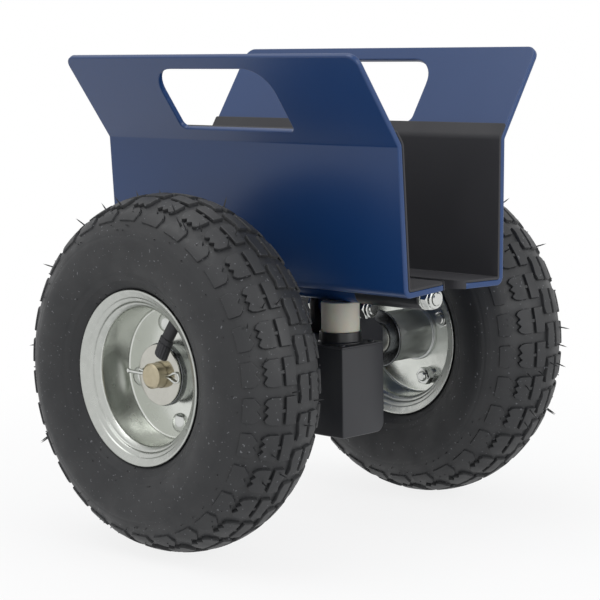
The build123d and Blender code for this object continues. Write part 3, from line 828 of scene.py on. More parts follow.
def repeat_tree(way: Repeat) -> NodeTree:
    """Return the node tree for one way of repeating a shape.

    Args:
        way: How the shape repeats.

    Returns:
        The tree, made the first time it is asked for.
    """
    found = bpy.data.node_groups.get(way.value)
    if found:
        return found
    tree = bpy.data.node_groups.new(way.value, "GeometryNodeTree")
    tree.interface.new_socket("Shape", in_out="INPUT", socket_type="NodeSocketGeometry")
    tree.interface.new_socket("Material", in_out="INPUT", socket_type="NodeSocketMaterial")
    for name in REPEAT_INPUTS[way]:
        kind = "NodeSocketInt" if name in WHOLE_NUMBERS else "NodeSocketFloat"
        tree.interface.new_socket(name, in_out="INPUT", socket_type=kind)
    tree.interface.new_socket("Geometry", in_out="OUTPUT", socket_type="NodeSocketGeometry")
    given = add_node(tree, "NodeGroupInput").outputs
    placed = {"Instance": given["Shape"]}
    if way is Repeat.GRID:
        grid = {"Size X": given["Spacing X"], "Size Y": given["Spacing Y"], "Vertices X": 2, "Vertices Y": 2}
        placed["Points"] = add_node(tree, "GeometryNodeMeshGrid", grid).outputs["Mesh"]
    else:
        placed["Points"] = add_node(tree, "GeometryNodePoints", {"Count": given["Count"]}).outputs[0]
        angles = add_node(tree, "ShaderNodeCombineXYZ", {"Z": turn_of_copy(tree, way, given)})
        placed["Rotation"] = add_node(tree, "FunctionNodeEulerToRotation", {0: angles.outputs[0]}).outputs[0]
    copies = add_node(tree, "GeometryNodeInstanceOnPoints", placed)
    real = add_node(tree, "GeometryNodeRealizeInstances", {0: copies.outputs[0]})
    looks = {"Geometry": real.outputs[0], "Material": given["Material"]}
    dressed = add_node(tree, "GeometryNodeSetMaterial", looks)
    add_node(tree, "NodeGroupOutput", {0: dressed.outputs[0]})
    return tree


def turn_of_copy(tree: NodeTree, way: Repeat, given: NodeOutputs) -> NodeSocket:
    """Add the nodes that turn each copy about the axis.

    Args:
        tree: Tree that takes the nodes.
        way: Evenly round the axis, or scattered.
        given: Inputs of the tree.

    Returns:
        Socket of the angle in radians.
    """
    index = add_node(tree, "GeometryNodeInputIndex").outputs[0]
    if way is Repeat.RING:
        part = maths(tree, "DIVIDE", index, given["Count"])
        return maths(tree, "MULTIPLY_ADD", part, FULL_TURN, given["Phase"])
    draw = {2: given["Start"], 3: given["End"], "ID": index, "Seed": given["Seed"]}
    return add_node(tree, "FunctionNodeRandomValue", draw, data_type="FLOAT").outputs[1]


def repeated(
    name: str, shape: BMesh, way: Repeat, finish: Finish, place: Matrix, **sizes: float
) -> Mesh:
    """Repeat a shape and return the result as one plain mesh.

    Args:
        name: Name of the new mesh.
        shape: Small shape in millimetres, in the repeat's own axes.
        way: How it repeats.
        finish: Finish of the result.
        place: Where the repeat's own axes go.
        sizes: Inputs of the tree, with an underscore for a space.

    Returns:
        The mesh in place, in metres.
    """
    tree = repeat_tree(way)
    holder = linked(name + "_repeat", make_mesh(name + "_shape", shape))
    modifier = holder.modifiers.new(way.value, "NODES")
    modifier.node_group = tree
    sockets = {item.name: item.identifier for item in tree.interface.items_tree if item.in_out == "INPUT"}
    modifier[sockets["Material"]] = finish.material()
    for key, value in sizes.items():
        modifier[sockets[key.replace("_", " ")]] = value
    graph = bpy.context.evaluated_depsgraph_get()
    made = bpy.data.meshes.new_from_object(holder.evaluated_get(graph))
    holder.modifiers.remove(modifier)
    bpy.data.objects.remove(holder)
    made.name = name
    made.transform(in_metres(place))
    return made


# Fasteners

# Thread form in shares of the pitch: its depth, then where the crest and the root start and end
THREAD_DEPTH = 0.35
THREAD_CREST = (0.05, 0.2)
THREAD_ROOT = (0.5, 0.7)

# The 10 mm thread of the pivot bolts and the load bar's rod, with the washers on it
ROD_RADIUS = 5.0
ROD_PITCH = 1.5
ROD_TIP = 0.8
ROD_BORE = 5.1
WASHER_RADIUS = 9.0
WASHER_EDGE = 0.4


@dataclass
class HexNut:
    """Hexagon nut with chamfered corners, and the round collar of a lock nut."""

    flats: float
    height: float
    bore: float
    collar: float = 0.0
    collar_height: float = 0.0
    collar_round: float = 1.1
    crest_share: float = 0.97
    bore_chamfer: float = 0.4
    chamfer: float = radians(30)
    sides: int = 72

    def rings(self) -> list[list[Vector]]:
        """Draw the nut on local Z.

        Returns:
            Its rings from the bore round the outside and back.
        """
        flat = self.flats / 2
        crest = flat * self.crest_share
        slope = tan(self.chamfer)
        mouth = self.bore + self.bore_chamfer
        top = self.height + self.collar_height

        def hexagon(angle: float) -> float:
            """Distance from the axis to the flats at an angle."""
            return flat / cos((angle % (pi / 3)) - pi / 6)

        def ring(radius: Callable[[float], float], height: Callable[[float], float]) -> list[Vector]:
            """Ring whose radius follows from the angle, and its height from the radius."""
            angles = [FULL_TURN * step / self.sides for step in range(self.sides)]
            return [Vector((radius(a) * cos(a), radius(a) * sin(a), height(radius(a)))) for a in angles]

        def level(radius: float, height: float) -> list[Vector]:
            """Round ring at one height."""
            return ring(lambda angle: radius, lambda reach: height)

        rings = [
            level(self.bore, self.bore_chamfer),
            level(mouth, 0.0),
            level(crest, 0.0),
            ring(hexagon, lambda reach: (reach - crest) * slope),
            ring(hexagon, lambda reach: self.height - (reach - crest) * slope),
            level(crest, self.height),
        ]
        if self.collar:
            rings.append(level(self.collar, self.height))
            middle = (self.collar - self.collar_round, top - self.collar_round)
            rings += [level(*point) for point in arc(middle, self.collar_round, 0.0, pi / 2, 4)]
        return [*rings, level(mouth, top), level(self.bore, top - self.bore_chamfer)]

    def add(self, mesh: BMesh, place: Matrix) -> None:
        """Add the nut to a mesh, its seat at the placement's origin."""
        loft(mesh, [[place @ point for point in ring] for ring in self.rings()])


RIM_NUT = HexNut(13.0, 6.5, 4.02)
BOLT_HEAD = HexNut(16.0, 6.4, 0.5)
LOCK_NUT = HexNut(16.0, 6.5, 5.02, 7.6, 2.5)


def thread_section(start: float, end: float, radius: float, pitch: float, tip: float) -> list[Point]:
    """Draw the outer edge of a threaded rod.

    Args:
        start: Where the thread starts along the rod.
        end: Where the rod ends.
        radius: Radius over the crests.
        pitch: Length of one turn.
        tip: Chamfer of the rod's end.

    Returns:
        Distance along the rod and radius, from start to end.
    """
    root = radius - pitch * THREAD_DEPTH
    points = []
    for turn in range(int((end - start - tip) / pitch)):
        low = start + turn * pitch
        points += [(low + pitch * share, radius) for share in THREAD_CREST]
        points += [(low + pitch * share, root) for share in THREAD_ROOT]
    return [*points, (end - tip, radius), (end, radius - tip)]


def mirrored(section: Sequence[Point]) -> list[Point]:
    """The same edge on the other side of zero, in the opposite order."""
    return [(-distance, radius) for distance, radius in reversed(section)]


# Wheels

# Blocks of one pitch of one half of the tread, each corner as length round the tyre, distance along
# its section and radius
TREAD_BAR = (
    (10.3, 2.6, 0.8), (10.3, 11.3, 0.7), (-10.3, 11.3, 0.7), (-10.3, 1.3, 0.8), (-5.5, 2.7, 0.8),
    (4.6, 1.2, 0.8),
)
TREAD_TIE = ((1.3, 10.6, 0.0), (1.3, 15.4, 0.0), (-1.3, 15.4, 0.0), (-1.3, 10.6, 0.0))
TREAD_CLAW = (
    (10.2, 14.7, 0.6), (10.2, 22.4, 1.6), (8.8, 26.0, 1.6), (5.9, 28.1, 0.7), (3.5, 24.9, 0.6),
    (-0.1, 28.3, 0.6), (-2.5, 25.1, 0.6), (-6.6, 28.1, 0.8), (-9.3, 25.9, 1.5), (-10.2, 22.6, 1.6),
    (-10.2, 14.7, 0.6),
)
TREAD_KNOB = (
    (10.3, 44.0, 0.8), (10.8, 35.8, 1.0), (3.9, 30.4, 0.7), (0.6, 33.7, 0.7), (-3.4, 30.7, 0.8),
    (-6.0, 31.8, 1.2), (-9.2, 35.0, 1.4), (-9.4, 40.6, 1.0), (-8.8, 44.1, 0.8),
)

# Points on the blocks' tops, for them to follow the tyre
TREAD_GRID = [(-9.0 + 4.5 * column, 2.0 + 2.6 * row) for column in range(5) for row in range(17)]

# Stands for the depth of a block's foot, which follows the rubber between the blocks
BLOCK_FOOT = 99.0


@dataclass(frozen=True)
class Spike:
    """Moulding spike: its height, the share of it below the taper, the depth of its foot and its lean."""

    height: float
    waist: float
    sink: float
    lean: float = 0.0


NIB = Spike(1.1, 0.7, 0.4)
HAIR = Spike(8.5, 0.6, 0.3, 0.25)


@dataclass
class Tyre:
    """Pneumatic tyre: a smooth carcass, tread blocks repeated round it, and moulding nibs and hairs."""

    radius: float = 135.0
    crown: float = 54.0
    tread_half: float = 36.0
    widest: Point = (45.0, 103.0)
    lip: Point = (33.3, 66.7)
    flank: Point = (29.7, 63.1)
    heel: Point = (23.0, 54.1)
    toe: Point = (18.3, 53.8)
    bead_top: Point = (20.8, 61.3)
    inner_lip: Point = (27.8, 66.7)
    inner_widest: Point = (39.5, 103.0)
    inner_steps: int = 14
    thickness: float = 9.0
    groove: float = 2.6
    shoulder_drop: float = 1.2
    rise: Corner = (26.0, 46.0, 62.0)
    # Lines moulded round the sidewall: middle along the section, depth and half width
    wall_lines: tuple[Corner, ...] = (
        (51.5, -0.1, 1.2), (56.5, 0.3, 1.0), (86.5, 0.55, 1.1), (91.0, -0.35, 1.4)
    )
    skin: float = 0.04
    section_step: float = 1.0
    pitches: int = 30
    phase: float = 0.95
    steps: int = 240
    sharp: float = radians(60)
    block_chamfer: float = 0.5
    block_rim: float = 0.05
    block_turn: Point = (0.35, 0.3)
    block_flare: float = 0.35
    block_sink: float = 0.8
    block_spacing: float = 2.4
    tie_drop: float = 1.0
    tie_chamfer: float = 0.3
    # Rows of nibs on both walls: distance along the section, how many and their radius
    nib_rows: tuple[tuple[float, int, float], ...] = (
        (36, 30, 0.5), (48, 18, 0.5), (52, 26, 0.5), (73, 12, 0.5), (78, 9, 0.5), (84, 12, 0.5),
        (94, 10, 0.5), (98, 9, 0.9),
    )
    hair_rows: tuple[float, ...] = (-19, -8, 6, 18, 26, 33)
    hair_count: int = 6
    hair_radius: float = 0.6
    hair_seed: int = 40
    spike_taper: float = 0.8
    spike_sides: int = 6

    def __post_init__(self) -> None:
        """Work out the circles of the crown and of the sidewall."""
        self.crown_middle = self.radius - self.crown
        self.shoulder = asin(self.tread_half / self.crown)
        edge = self.on_crown(0.0, self.shoulder)
        self.wall_middle, self.wall_radius = circle_through(edge, self.widest, self.lip)
        self.wall_start = angle_of(edge, self.wall_middle)
        self.wall_end = angle_of(self.lip, self.wall_middle)
        self.crown_length = self.crown * self.shoulder
        self.length = self.crown_length + self.wall_radius * (self.wall_start - self.wall_end)

    def on_crown(self, drop: float, angle: float) -> Point:
        """Point of the section at a depth below the crown and an angle from its middle."""
        reach = self.crown - drop
        return (reach * sin(angle), self.crown_middle + reach * cos(angle))

    def surface(self, distance: float, drop: float) -> Point:
        """Point of the section at a distance along the outside and a depth below it.

        Args:
            distance: Distance from the crown's middle, positive outboard.
            drop: Depth below the outside.

        Returns:
            Offset from the middle plane and radius from the axle.
        """
        side = -1 if distance < 0 else 1
        reach = abs(distance)
        if reach <= self.crown_length:
            across, radius = self.on_crown(drop, reach / self.crown)
        else:
            angle = self.wall_start - (reach - self.crown_length) / self.wall_radius
            across = self.wall_middle[0] + (self.wall_radius - drop) * cos(angle)
            radius = self.wall_middle[1] + (self.wall_radius - drop) * sin(angle)
        return (side * across, radius)

    def base_drop(self, distance: float) -> float:
        """Depth of the rubber between the blocks, which rises over the shoulder to the sidewall.

        Args:
            distance: Distance from the crown's middle.

        Returns:
            Depth below the outside.
        """
        start, shoulder, end = self.rise
        reach = abs(distance)
        if reach < shoulder:
            return blend(self.groove, self.shoulder_drop, (reach - start) / (shoulder - start))
        return blend(self.shoulder_drop, 0.0, (reach - shoulder) / (end - shoulder))

    def carcass_section(self) -> list[Point]:
        """Draw the closed section of the carcass.

        Returns:
            Offset and radius, from the crown's middle round one half and back round the other.
        """
        half = []
        reach = 0.0
        while reach < self.length:
            drop = self.base_drop(reach) + depth_of_lines(self.wall_lines, reach) + self.skin
            half.append(self.surface(reach, drop))
            reach += self.section_step
        half += [self.lip, self.flank, self.heel, self.toe, self.bead_top, self.inner_lip]
        roof = self.on_crown(self.thickness, self.shoulder)
        middle, radius = circle_through(self.inner_lip, self.inner_widest, roof)
        first, last = angle_of(self.inner_lip, middle), angle_of(roof, middle)
        half += arc(middle, radius, first, last, self.inner_steps)[1:]
        half += [self.on_crown(self.thickness, self.shoulder * share) for share in (0.75, 0.5, 0.25, 0.0)]
        return half + mirrored(half[1:-1])

    def block_point(self, outward: int, offset: float, length: float, distance: float, drop: float) -> Vector:
        """Place a point of a tread block.

        Args:
            outward: One for the outboard half of the tread, minus one for the inboard half.
            offset: Angle of the block's middle in radians.
            length: Length round the tyre from there.
            distance: Distance along the tyre's section.
            drop: Depth below the outside.

        Returns:
            The point in the wheel's axes.
        """
        angle = offset + length / self.radius
        depth = drop if drop < BLOCK_FOOT else self.base_drop(distance) + self.block_sink
        across, radius = self.surface(distance, depth)
        return Vector((radius * cos(angle), radius * sin(angle), outward * across))

    def pitch(self) -> BMesh:
        """Draw one pitch of the tread.

        Returns:
            The blocks of both halves in the wheel's axes.
        """
        mesh = bmesh.new()
        for outward, shift in ((1, 0.5), (-1, 0.0)):
            place = partial(self.block_point, outward, shift * (FULL_TURN / self.pitches))
            for corners in (TREAD_BAR, TREAD_TIE, TREAD_CLAW, TREAD_KNOB):
                tie = corners is TREAD_TIE
                top, chamfer = (self.tie_drop, self.tie_chamfer) if tie else (self.skin, self.block_chamfer)
                outline = densify(rounded(corners, steps=3), self.block_spacing)
                lengths = [point[0] for point in outline]
                levels = [
                    (chamfer + self.block_rim, top),
                    (chamfer, top),
                    (chamfer * self.block_turn[0], top + chamfer * self.block_turn[1]),
                    (0.0, top + chamfer),
                    (-self.block_flare, BLOCK_FOOT),
                ]
                inner = [point for point in TREAD_GRID if min(lengths) < point[0] < max(lengths)]
                sheet(mesh, outline, [], levels, place, inner)
        return mesh

    def spike(self, kind: Spike, distance: float, radius: float) -> BMesh:
        """Draw a small moulding spike that stays inside the tyre's widest section.

        Args:
            kind: Its proportions.
            distance: Where it stands along the section.
            radius: Radius of its foot.

        Returns:
            The spike in the wheel's axes.
        """
        across, foot = self.surface(distance, kind.sink)
        up, out = self.surface(distance, -1.0), self.surface(distance, 0.0)
        height = min(kind.height, self.widest[0] - abs(out[0]))
        facing = Vector((up[1] - out[1], kind.lean, up[0] - out[0]))
        section = [(0, 0), (0, radius), (height * kind.waist, radius * self.spike_taper), (height, 0)]
        return turned_at(section, self.spike_sides, along((foot, 0, across), facing))


# Rubber valve stem as height, radius and corner radius, and its cap as height and radius
VALVE_STEM = (
    (-2.0, 0.0, 0.0), (-2.0, 3.9, 0.4), (2.3, 3.9, 0.2), (2.3, 6.2, 0.8), (4.2, 5.7, 0.8), (8.0, 4.8, 2.0),
    (18.8, 4.7, 0.4), (19.4, 5.5, 0.3), (22.3, 5.5, 0.3), (22.95, 5.0, 0.2), (22.95, 0.0, 0.0),
)
VALVE_CAP = ((23.0, 0.5), (23.0, 5.1), (23.4, 5.4), (31.2, 5.35), (32.4, 4.9), (33.0, 3.9), (33.0, 0.5))


@dataclass
class Wheel:
    """One wheel: tyre, two-piece rim with its fasteners, hub, bearings and valve."""

    side: Side
    half_track: float = 140.5
    half_rim: float = 33.0
    sheet_gauge: float = 2.2
    web: float = -4.0
    web_play: float = 0.05
    well: float = 52.5
    well_round: float = 4.0
    seat: float = 53.5
    seat_set: float = 9.0
    seat_rise: float = 0.3
    seat_round: float = 2.5
    flange: float = 65.5
    curl_set: float = 3.2
    curl_drop: float = 5.8
    curl_round: float = 2.0
    # Rings pressed round the flange: radius, depth and half width
    flange_rings: tuple[Corner, ...] = ((60.0, 0.55, 1.25), (56.9, 0.52, 1.1))
    ring_spacing: float = 0.4
    matte_below_seat: float = 1.2
    hub_bore: float = 18.0
    hub_radius: float = 21.0
    hub_flange: float = 23.0
    hub_step: float = 2.5
    hub_inner: float = 90.0
    hub_outer: float = 146.0
    cap_radius: float = 23.75
    cap_depth: float = 5.0
    cap_flange: float = 2.0
    cap_bore: float = 13.0
    cap_dish: float = 1.2
    race_inner: float = 16.15
    race_outer: float = 17.95
    race_depth: float = 12.0
    bolt_circle: float = 38.0
    bolt_count: int = 4
    bolt_phase: float = 10.0
    bolt_radius: float = 4.0
    bolt_pitch: float = 1.25
    bolt_tip: float = 0.8
    bolt_tail: float = 2.2
    head_radius: float = 7.5
    head_edge: Point = (0.9, 7.45)
    head_dome: float = 3.6
    head_turns: tuple[float, ...] = (0.25, 0.55, 0.85, 1.15, 1.4)
    lock_washer: float = 2.0
    lock_washer_bore: float = 4.1
    lock_washer_radius: float = 7.0
    valve_angle: float = 61.0
    valve_tilt: float = 20.0
    valve_outset: float = 13.5
    valve_length: float = 33.0
    valve_bend: Corner = (3.0, 1.7, -4.3)
    cap_ribs: int = 16
    cap_steps: int = 64
    rib_lift: float = 0.16
    ribs_from: float = 4.5
    tyre: Tyre = field(default_factory=Tyre)
    steps: int = 160

    @property
    def body(self) -> str:
        """CAD body that turns with this wheel."""
        return f"{self.side.label}_wheel"

    @property
    def place(self) -> Matrix:
        """Wheel's own axes: Z outboard from its middle plane, X along the jaws."""
        out = self.side.value
        return Matrix(
            ((1, 0, 0, 0), (0, 0, out, out * self.half_track), (0, -out, 0, AXLE_HEIGHT), (0, 0, 0, 1))
        )

    def named(self, word: str) -> str:
        """Name of one of this wheel's pieces or nodes."""
        return f"{self.side.label}_{word}"

    def add(self, word: str, shape: Shape, finish: Finish, node: str, sharp: float = SHARP_ANGLE) -> None:
        """Put one of this wheel's shapes on its body, for one of its nodes or for none."""
        publish(self.named(word), shape, finish, self.body, [self.named(node)] if node else [], sharp)

    def build(self) -> None:
        """Build and dress every piece of the wheel."""
        self.build_tyre()
        self.build_rims()
        self.build_rim_fasteners()
        self.build_hub()
        self.build_bearing_rings()
        self.build_valve()

    def build_tyre(self) -> None:
        """Carcass with its tread, nibs and hairs."""
        tyre = self.tyre
        carcass = turned_at(tyre.carcass_section(), tyre.steps, self.place)
        self.add("tyre_carcass", carcass, TYRE_RUBBER, "tyre", tyre.sharp)
        tread = self.round_axle("tyre_tread", tyre.pitch(), tyre.pitches, tyre.phase, TYRE_RUBBER)
        self.add("tyre_tread", tread, TYRE_RUBBER, "")
        spikes = []
        for index, (distance, count, radius) in enumerate(tyre.nib_rows):
            for side in (1, -1):
                seed = index * 2 + (side > 0)
                nib = tyre.spike(NIB, side * distance, radius)
                spikes.append(self.scattered(nib, count, (0.0, 360.0), seed))
        floor_clear = (-40.0, 220.0) if self.side is Side.NEAR else (-220.0, 40.0)
        for index, distance in enumerate(tyre.hair_rows):
            hair = tyre.spike(HAIR, distance, tyre.hair_radius)
            spikes.append(self.scattered(hair, tyre.hair_count, floor_clear, tyre.hair_seed + index))
        self.add("tyre_nibs", joined("nibs", spikes), TYRE_RUBBER, "")

    def round_axle(self, name: str, shape: BMesh, count: int, phase: float, finish: Finish) -> Mesh:
        """Repeat a shape evenly round the axle, the first at a phase in degrees."""
        sizes = {"Count": count, "Phase": radians(phase)}
        return repeated(self.named(name), shape, Repeat.RING, finish, self.place, **sizes)

    def scattered(self, shape: BMesh, count: int, span: Point, seed: int) -> Mesh:
        """Scatter a spike round the tyre between two angles in degrees."""
        sizes = {"Count": count, "Start": radians(span[0]), "End": radians(span[1]), "Seed": seed}
        return repeated("spikes", shape, Repeat.SCATTER, TYRE_RUBBER, self.place, **sizes)

    def rim_path(self, outward: int) -> list[Corner]:
        """Corners of one rim half's sheet, from the hub up the web and along the barrel to its edge."""
        reach = outward * self.half_rim
        return [
            (self.web, self.hub_radius + self.web_play, 0.0),
            (self.web, self.well, self.well_round),
            (reach - outward * self.seat_set, self.seat + self.seat_rise, self.seat_round),
            (reach - outward * self.curl_set, self.flange - self.curl_drop, self.curl_round),
            (reach, self.flange, 0.0),
        ]

    def rim_section(self, outward: int) -> list[Point]:
        """Draw the closed section of one rim half, thinner at its rings and with a rounded outer edge.

        Args:
            outward: One for the outer half, minus one for the inner half.

        Returns:
            Offset from the wheel's middle and radius.
        """
        path = rounded(self.rim_path(outward), closed=False, steps=7)
        line = []
        for start, end in zip(path, path[1:]):
            length = (Vector(end) - Vector(start)).length
            parts = ceil(length / self.ring_spacing) if start[1] > self.seat else 1
            line += [tuple(Vector(start).lerp(Vector(end), part / parts)) for part in range(parts)]
        line.append(path[-1])
        offset = []
        for index, (across, radius) in enumerate(line):
            before = Vector(line[max(index - 1, 0)])
            after = Vector(line[min(index + 1, len(line) - 1)])
            run = (after - before).normalized()
            depth = self.sheet_gauge - depth_of_lines(self.flange_rings, radius)
            offset.append((across + run.y * depth * outward, radius - run.x * depth * outward))
        tip = Vector(line[-1])
        middle = (tip + Vector(offset[-1])) / 2
        start = angle_of(tip, middle)
        cap = arc(tuple(middle), self.sheet_gauge / 2, start, start - outward * pi, 6)
        return [*line[:-1], *cap, *reversed(offset[:-1])]

    def build_rims(self) -> None:
        """Both pressed rim halves, bright inside and matte on the flange."""
        for half, outward in (("outer", 1), ("inner", -1)):
            mesh = turned_at(self.rim_section(outward), self.steps, self.place)
            for face in mesh.faces:
                middle = face.calc_center_median()
                radius = hypot(middle.x, middle.z - AXLE_HEIGHT)
                face.material_index = int(radius > self.seat - self.matte_below_seat)
            made = make_mesh("rim", mesh)
            made.materials.append(ZINC_SHEET.material())
            made.materials.append(ZINC_FLANGE.material())
            self.add(f"rim_{half}_half", made, ZINC_SHEET, f"rim_{half}")

    def build_rim_fasteners(self) -> None:
        """Domed bolts outboard, lock washers and nuts inboard, round the bolt circle."""
        outer, inner = self.web + self.sheet_gauge, self.web - self.sheet_gauge
        seat = inner - self.lock_washer - RIM_NUT.height
        end = seat - self.bolt_tail
        spot = Matrix.Translation((self.bolt_circle, 0, 0))
        rim, edge = self.head_edge
        dome = [(outer + rim + self.head_dome * sin(t), edge * cos(t)) for t in self.head_turns]
        head = [(outer, self.head_radius), (outer + rim, edge), *dome, (outer + rim + self.head_dome, 0.0)]
        shank = mirrored(thread_section(-inner, -end, self.bolt_radius, self.bolt_pitch, self.bolt_tip))
        bolt = turned_at([(end, 0.0), *shank, (outer, self.bolt_radius), *head], 28, spot)
        nut = bmesh.new()
        RIM_NUT.add(nut, spot @ Matrix.Translation((0, 0, seat)))
        bore, radius = self.lock_washer_bore, self.lock_washer_radius
        washer = turned_at(ring_section(inner - self.lock_washer, inner, bore, radius, WASHER_EDGE), 32, spot)
        for word, mesh, node in (
            ("rim_bolt_set", bolt, "rim_bolts"),
            ("rim_nut_set", nut, "rim_nuts"),
            ("rim_washer_set", washer, "rim_lock_washers"),
        ):
            made = self.round_axle(word, mesh, self.bolt_count, self.bolt_phase, ZINC_HARDWARE)
            self.add(word, made, ZINC_HARDWARE, node)

    def build_hub(self) -> None:
        """Hub barrel with a flange against the web, as one turned part."""
        low, high = self.hub_inner - self.half_track, self.hub_outer - self.half_track
        top = self.web - self.sheet_gauge
        foot = top - self.hub_step
        bore, radius, flange = self.hub_bore, self.hub_radius, self.hub_flange
        corners = [
            (low, bore, 0.4), (low, radius, 0.8), (foot, radius, 1.5), (foot, flange, 0.8),
            (top, flange, 0.3), (top, radius, 0.0), (high, radius, 0.8), (high, bore, 0.4),
        ]
        section = rounded(corners, steps=3)
        self.add("hub_barrel", turned_at(section, 96, self.place), ZINC_DULL, "hub")

    def build_bearing_rings(self) -> None:
        """Flanged outer rings of both bearings, with a dished face."""
        mesh = bmesh.new()
        ends = ((self.hub_outer, -1, self.cap_depth), (self.hub_inner, 1, self.cap_flange))
        for station, inward, depth in ends:
            face = station - self.half_track
            back, front = face + inward * self.race_depth, face - inward * depth
            dish = face - inward * (depth - self.cap_dish)
            corners = [
                (back, self.race_inner, 0.3), (back, self.race_outer, 0.3),
                (face + inward * GAP, self.race_outer, 0.0), (face - inward * GAP, self.cap_radius, 0.3),
                (front, self.cap_radius, 0.9), (front, self.cap_bore, 0.3),
                (dish, self.cap_bore, 0.2), (face, self.race_inner, 0.0),
            ]
            section = rounded(corners, steps=3)
            turned(mesh, section, 80, self.place)
        # The caps' steel is darkened: painted shade of the gap by the hub.
        self.add("bearing_caps", mesh, SHADE_PAINTED_BEARING_STEEL, "bearing_outer_rings")

    def droop(self, mesh: BMesh, foot: Vector, aim: Vector) -> None:
        """Bend the valve gently from its foot to its tip.

        Args:
            mesh: Mesh of the straight stem or cap.
            foot: Where the stem leaves the barrel.
            aim: Direction of the straight stem.
        """
        x, y, z = self.valve_bend
        tip = Vector((x, -y * self.side.value, z))
        for vert in mesh.verts:
            vert.co += tip * (max(0.0, (vert.co - foot).dot(aim)) / self.valve_length) ** 2

    def build_valve(self) -> None:
        """Rubber valve stem with its foot in the barrel, and a ribbed cap."""
        angle, tilt, out = radians(self.valve_angle), radians(self.valve_tilt), self.side.value
        outset = out * (self.half_track + self.valve_outset)
        start = Vector((self.seat * cos(angle), outset, AXLE_HEIGHT + self.seat * sin(angle)))
        aim = Vector((-cos(angle) * cos(tilt), out * sin(tilt), -sin(angle) * cos(tilt)))
        place = along(start, aim)
        stem = turned_at(rounded(VALVE_STEM, closed=False, steps=3), 32, place)
        cap = bmesh.new()
        rings = []
        for height, radius in VALVE_CAP:
            ring = []
            for step in range(self.cap_steps):
                turn = FULL_TURN * step / self.cap_steps
                rib = self.rib_lift * cos(turn * self.cap_ribs) if radius > self.ribs_from else 0.0
                reach = radius + rib
                ring.append(place @ Vector((reach * cos(turn), reach * sin(turn), height)))
            rings.append(ring)
        loft(cap, rings)
        parts = (("valve_rubber", stem, "valve_stem"), ("valve_cap_ribbed", cap, "valve_cap"))
        for word, mesh, node in parts:
            self.droop(mesh, start, aim)
            self.add(word, mesh, VALVE_RUBBER, node)


# Jaws


class BentLine:
    """Line of straight runs and round bends that a flat sheet is folded along."""

    def __init__(self, corners: Sequence[Corner], arc_steps: int = 10) -> None:
        """Measure the line.

        Args:
            corners: Points, each with the radius of its bend.
            arc_steps: Parts of each bend.
        """
        self.points = [Vector(p) for p in rounded(corners, closed=False, steps=arc_steps)]
        self.stations = [0.0]
        for start, end in zip(self.points, self.points[1:]):
            self.stations.append(self.stations[-1] + (end - start).length)

    @property
    def length(self) -> float:
        """Length from end to end."""
        return self.stations[-1]

    def at(self, distance: float, height: float) -> Vector:
        """Find a point by the line.

        Args:
            distance: Distance along the line.
            height: Height to the left of it.

        Returns:
            The point in the line's plane.
        """
        index = 1
        while index < len(self.stations) - 1 and self.stations[index] < distance:
            index += 1
        start, end = self.points[index - 1], self.points[index]
        share = (distance - self.stations[index - 1]) / (self.stations[index] - self.stations[index - 1])
        left = self.left_at(index - 1).lerp(self.left_at(index), max(0.0, min(1.0, share))).normalized()
        return start.lerp(end, share) + left * height

    def left_at(self, index: int) -> Vector:
        """Find the direction square to the line at one of its points.

        Args:
            index: Which point.

        Returns:
            Unit vector to the left.
        """
        before = self.points[max(index - 1, 0)]
        after = self.points[min(index + 1, len(self.points) - 1)]
        if index in (0, len(self.points) - 1):
            run = after - before
        else:
            run = (self.points[index] - before).normalized() + (after - self.points[index]).normalized()
        run.normalize()
        return Vector((-run.y, run.x))


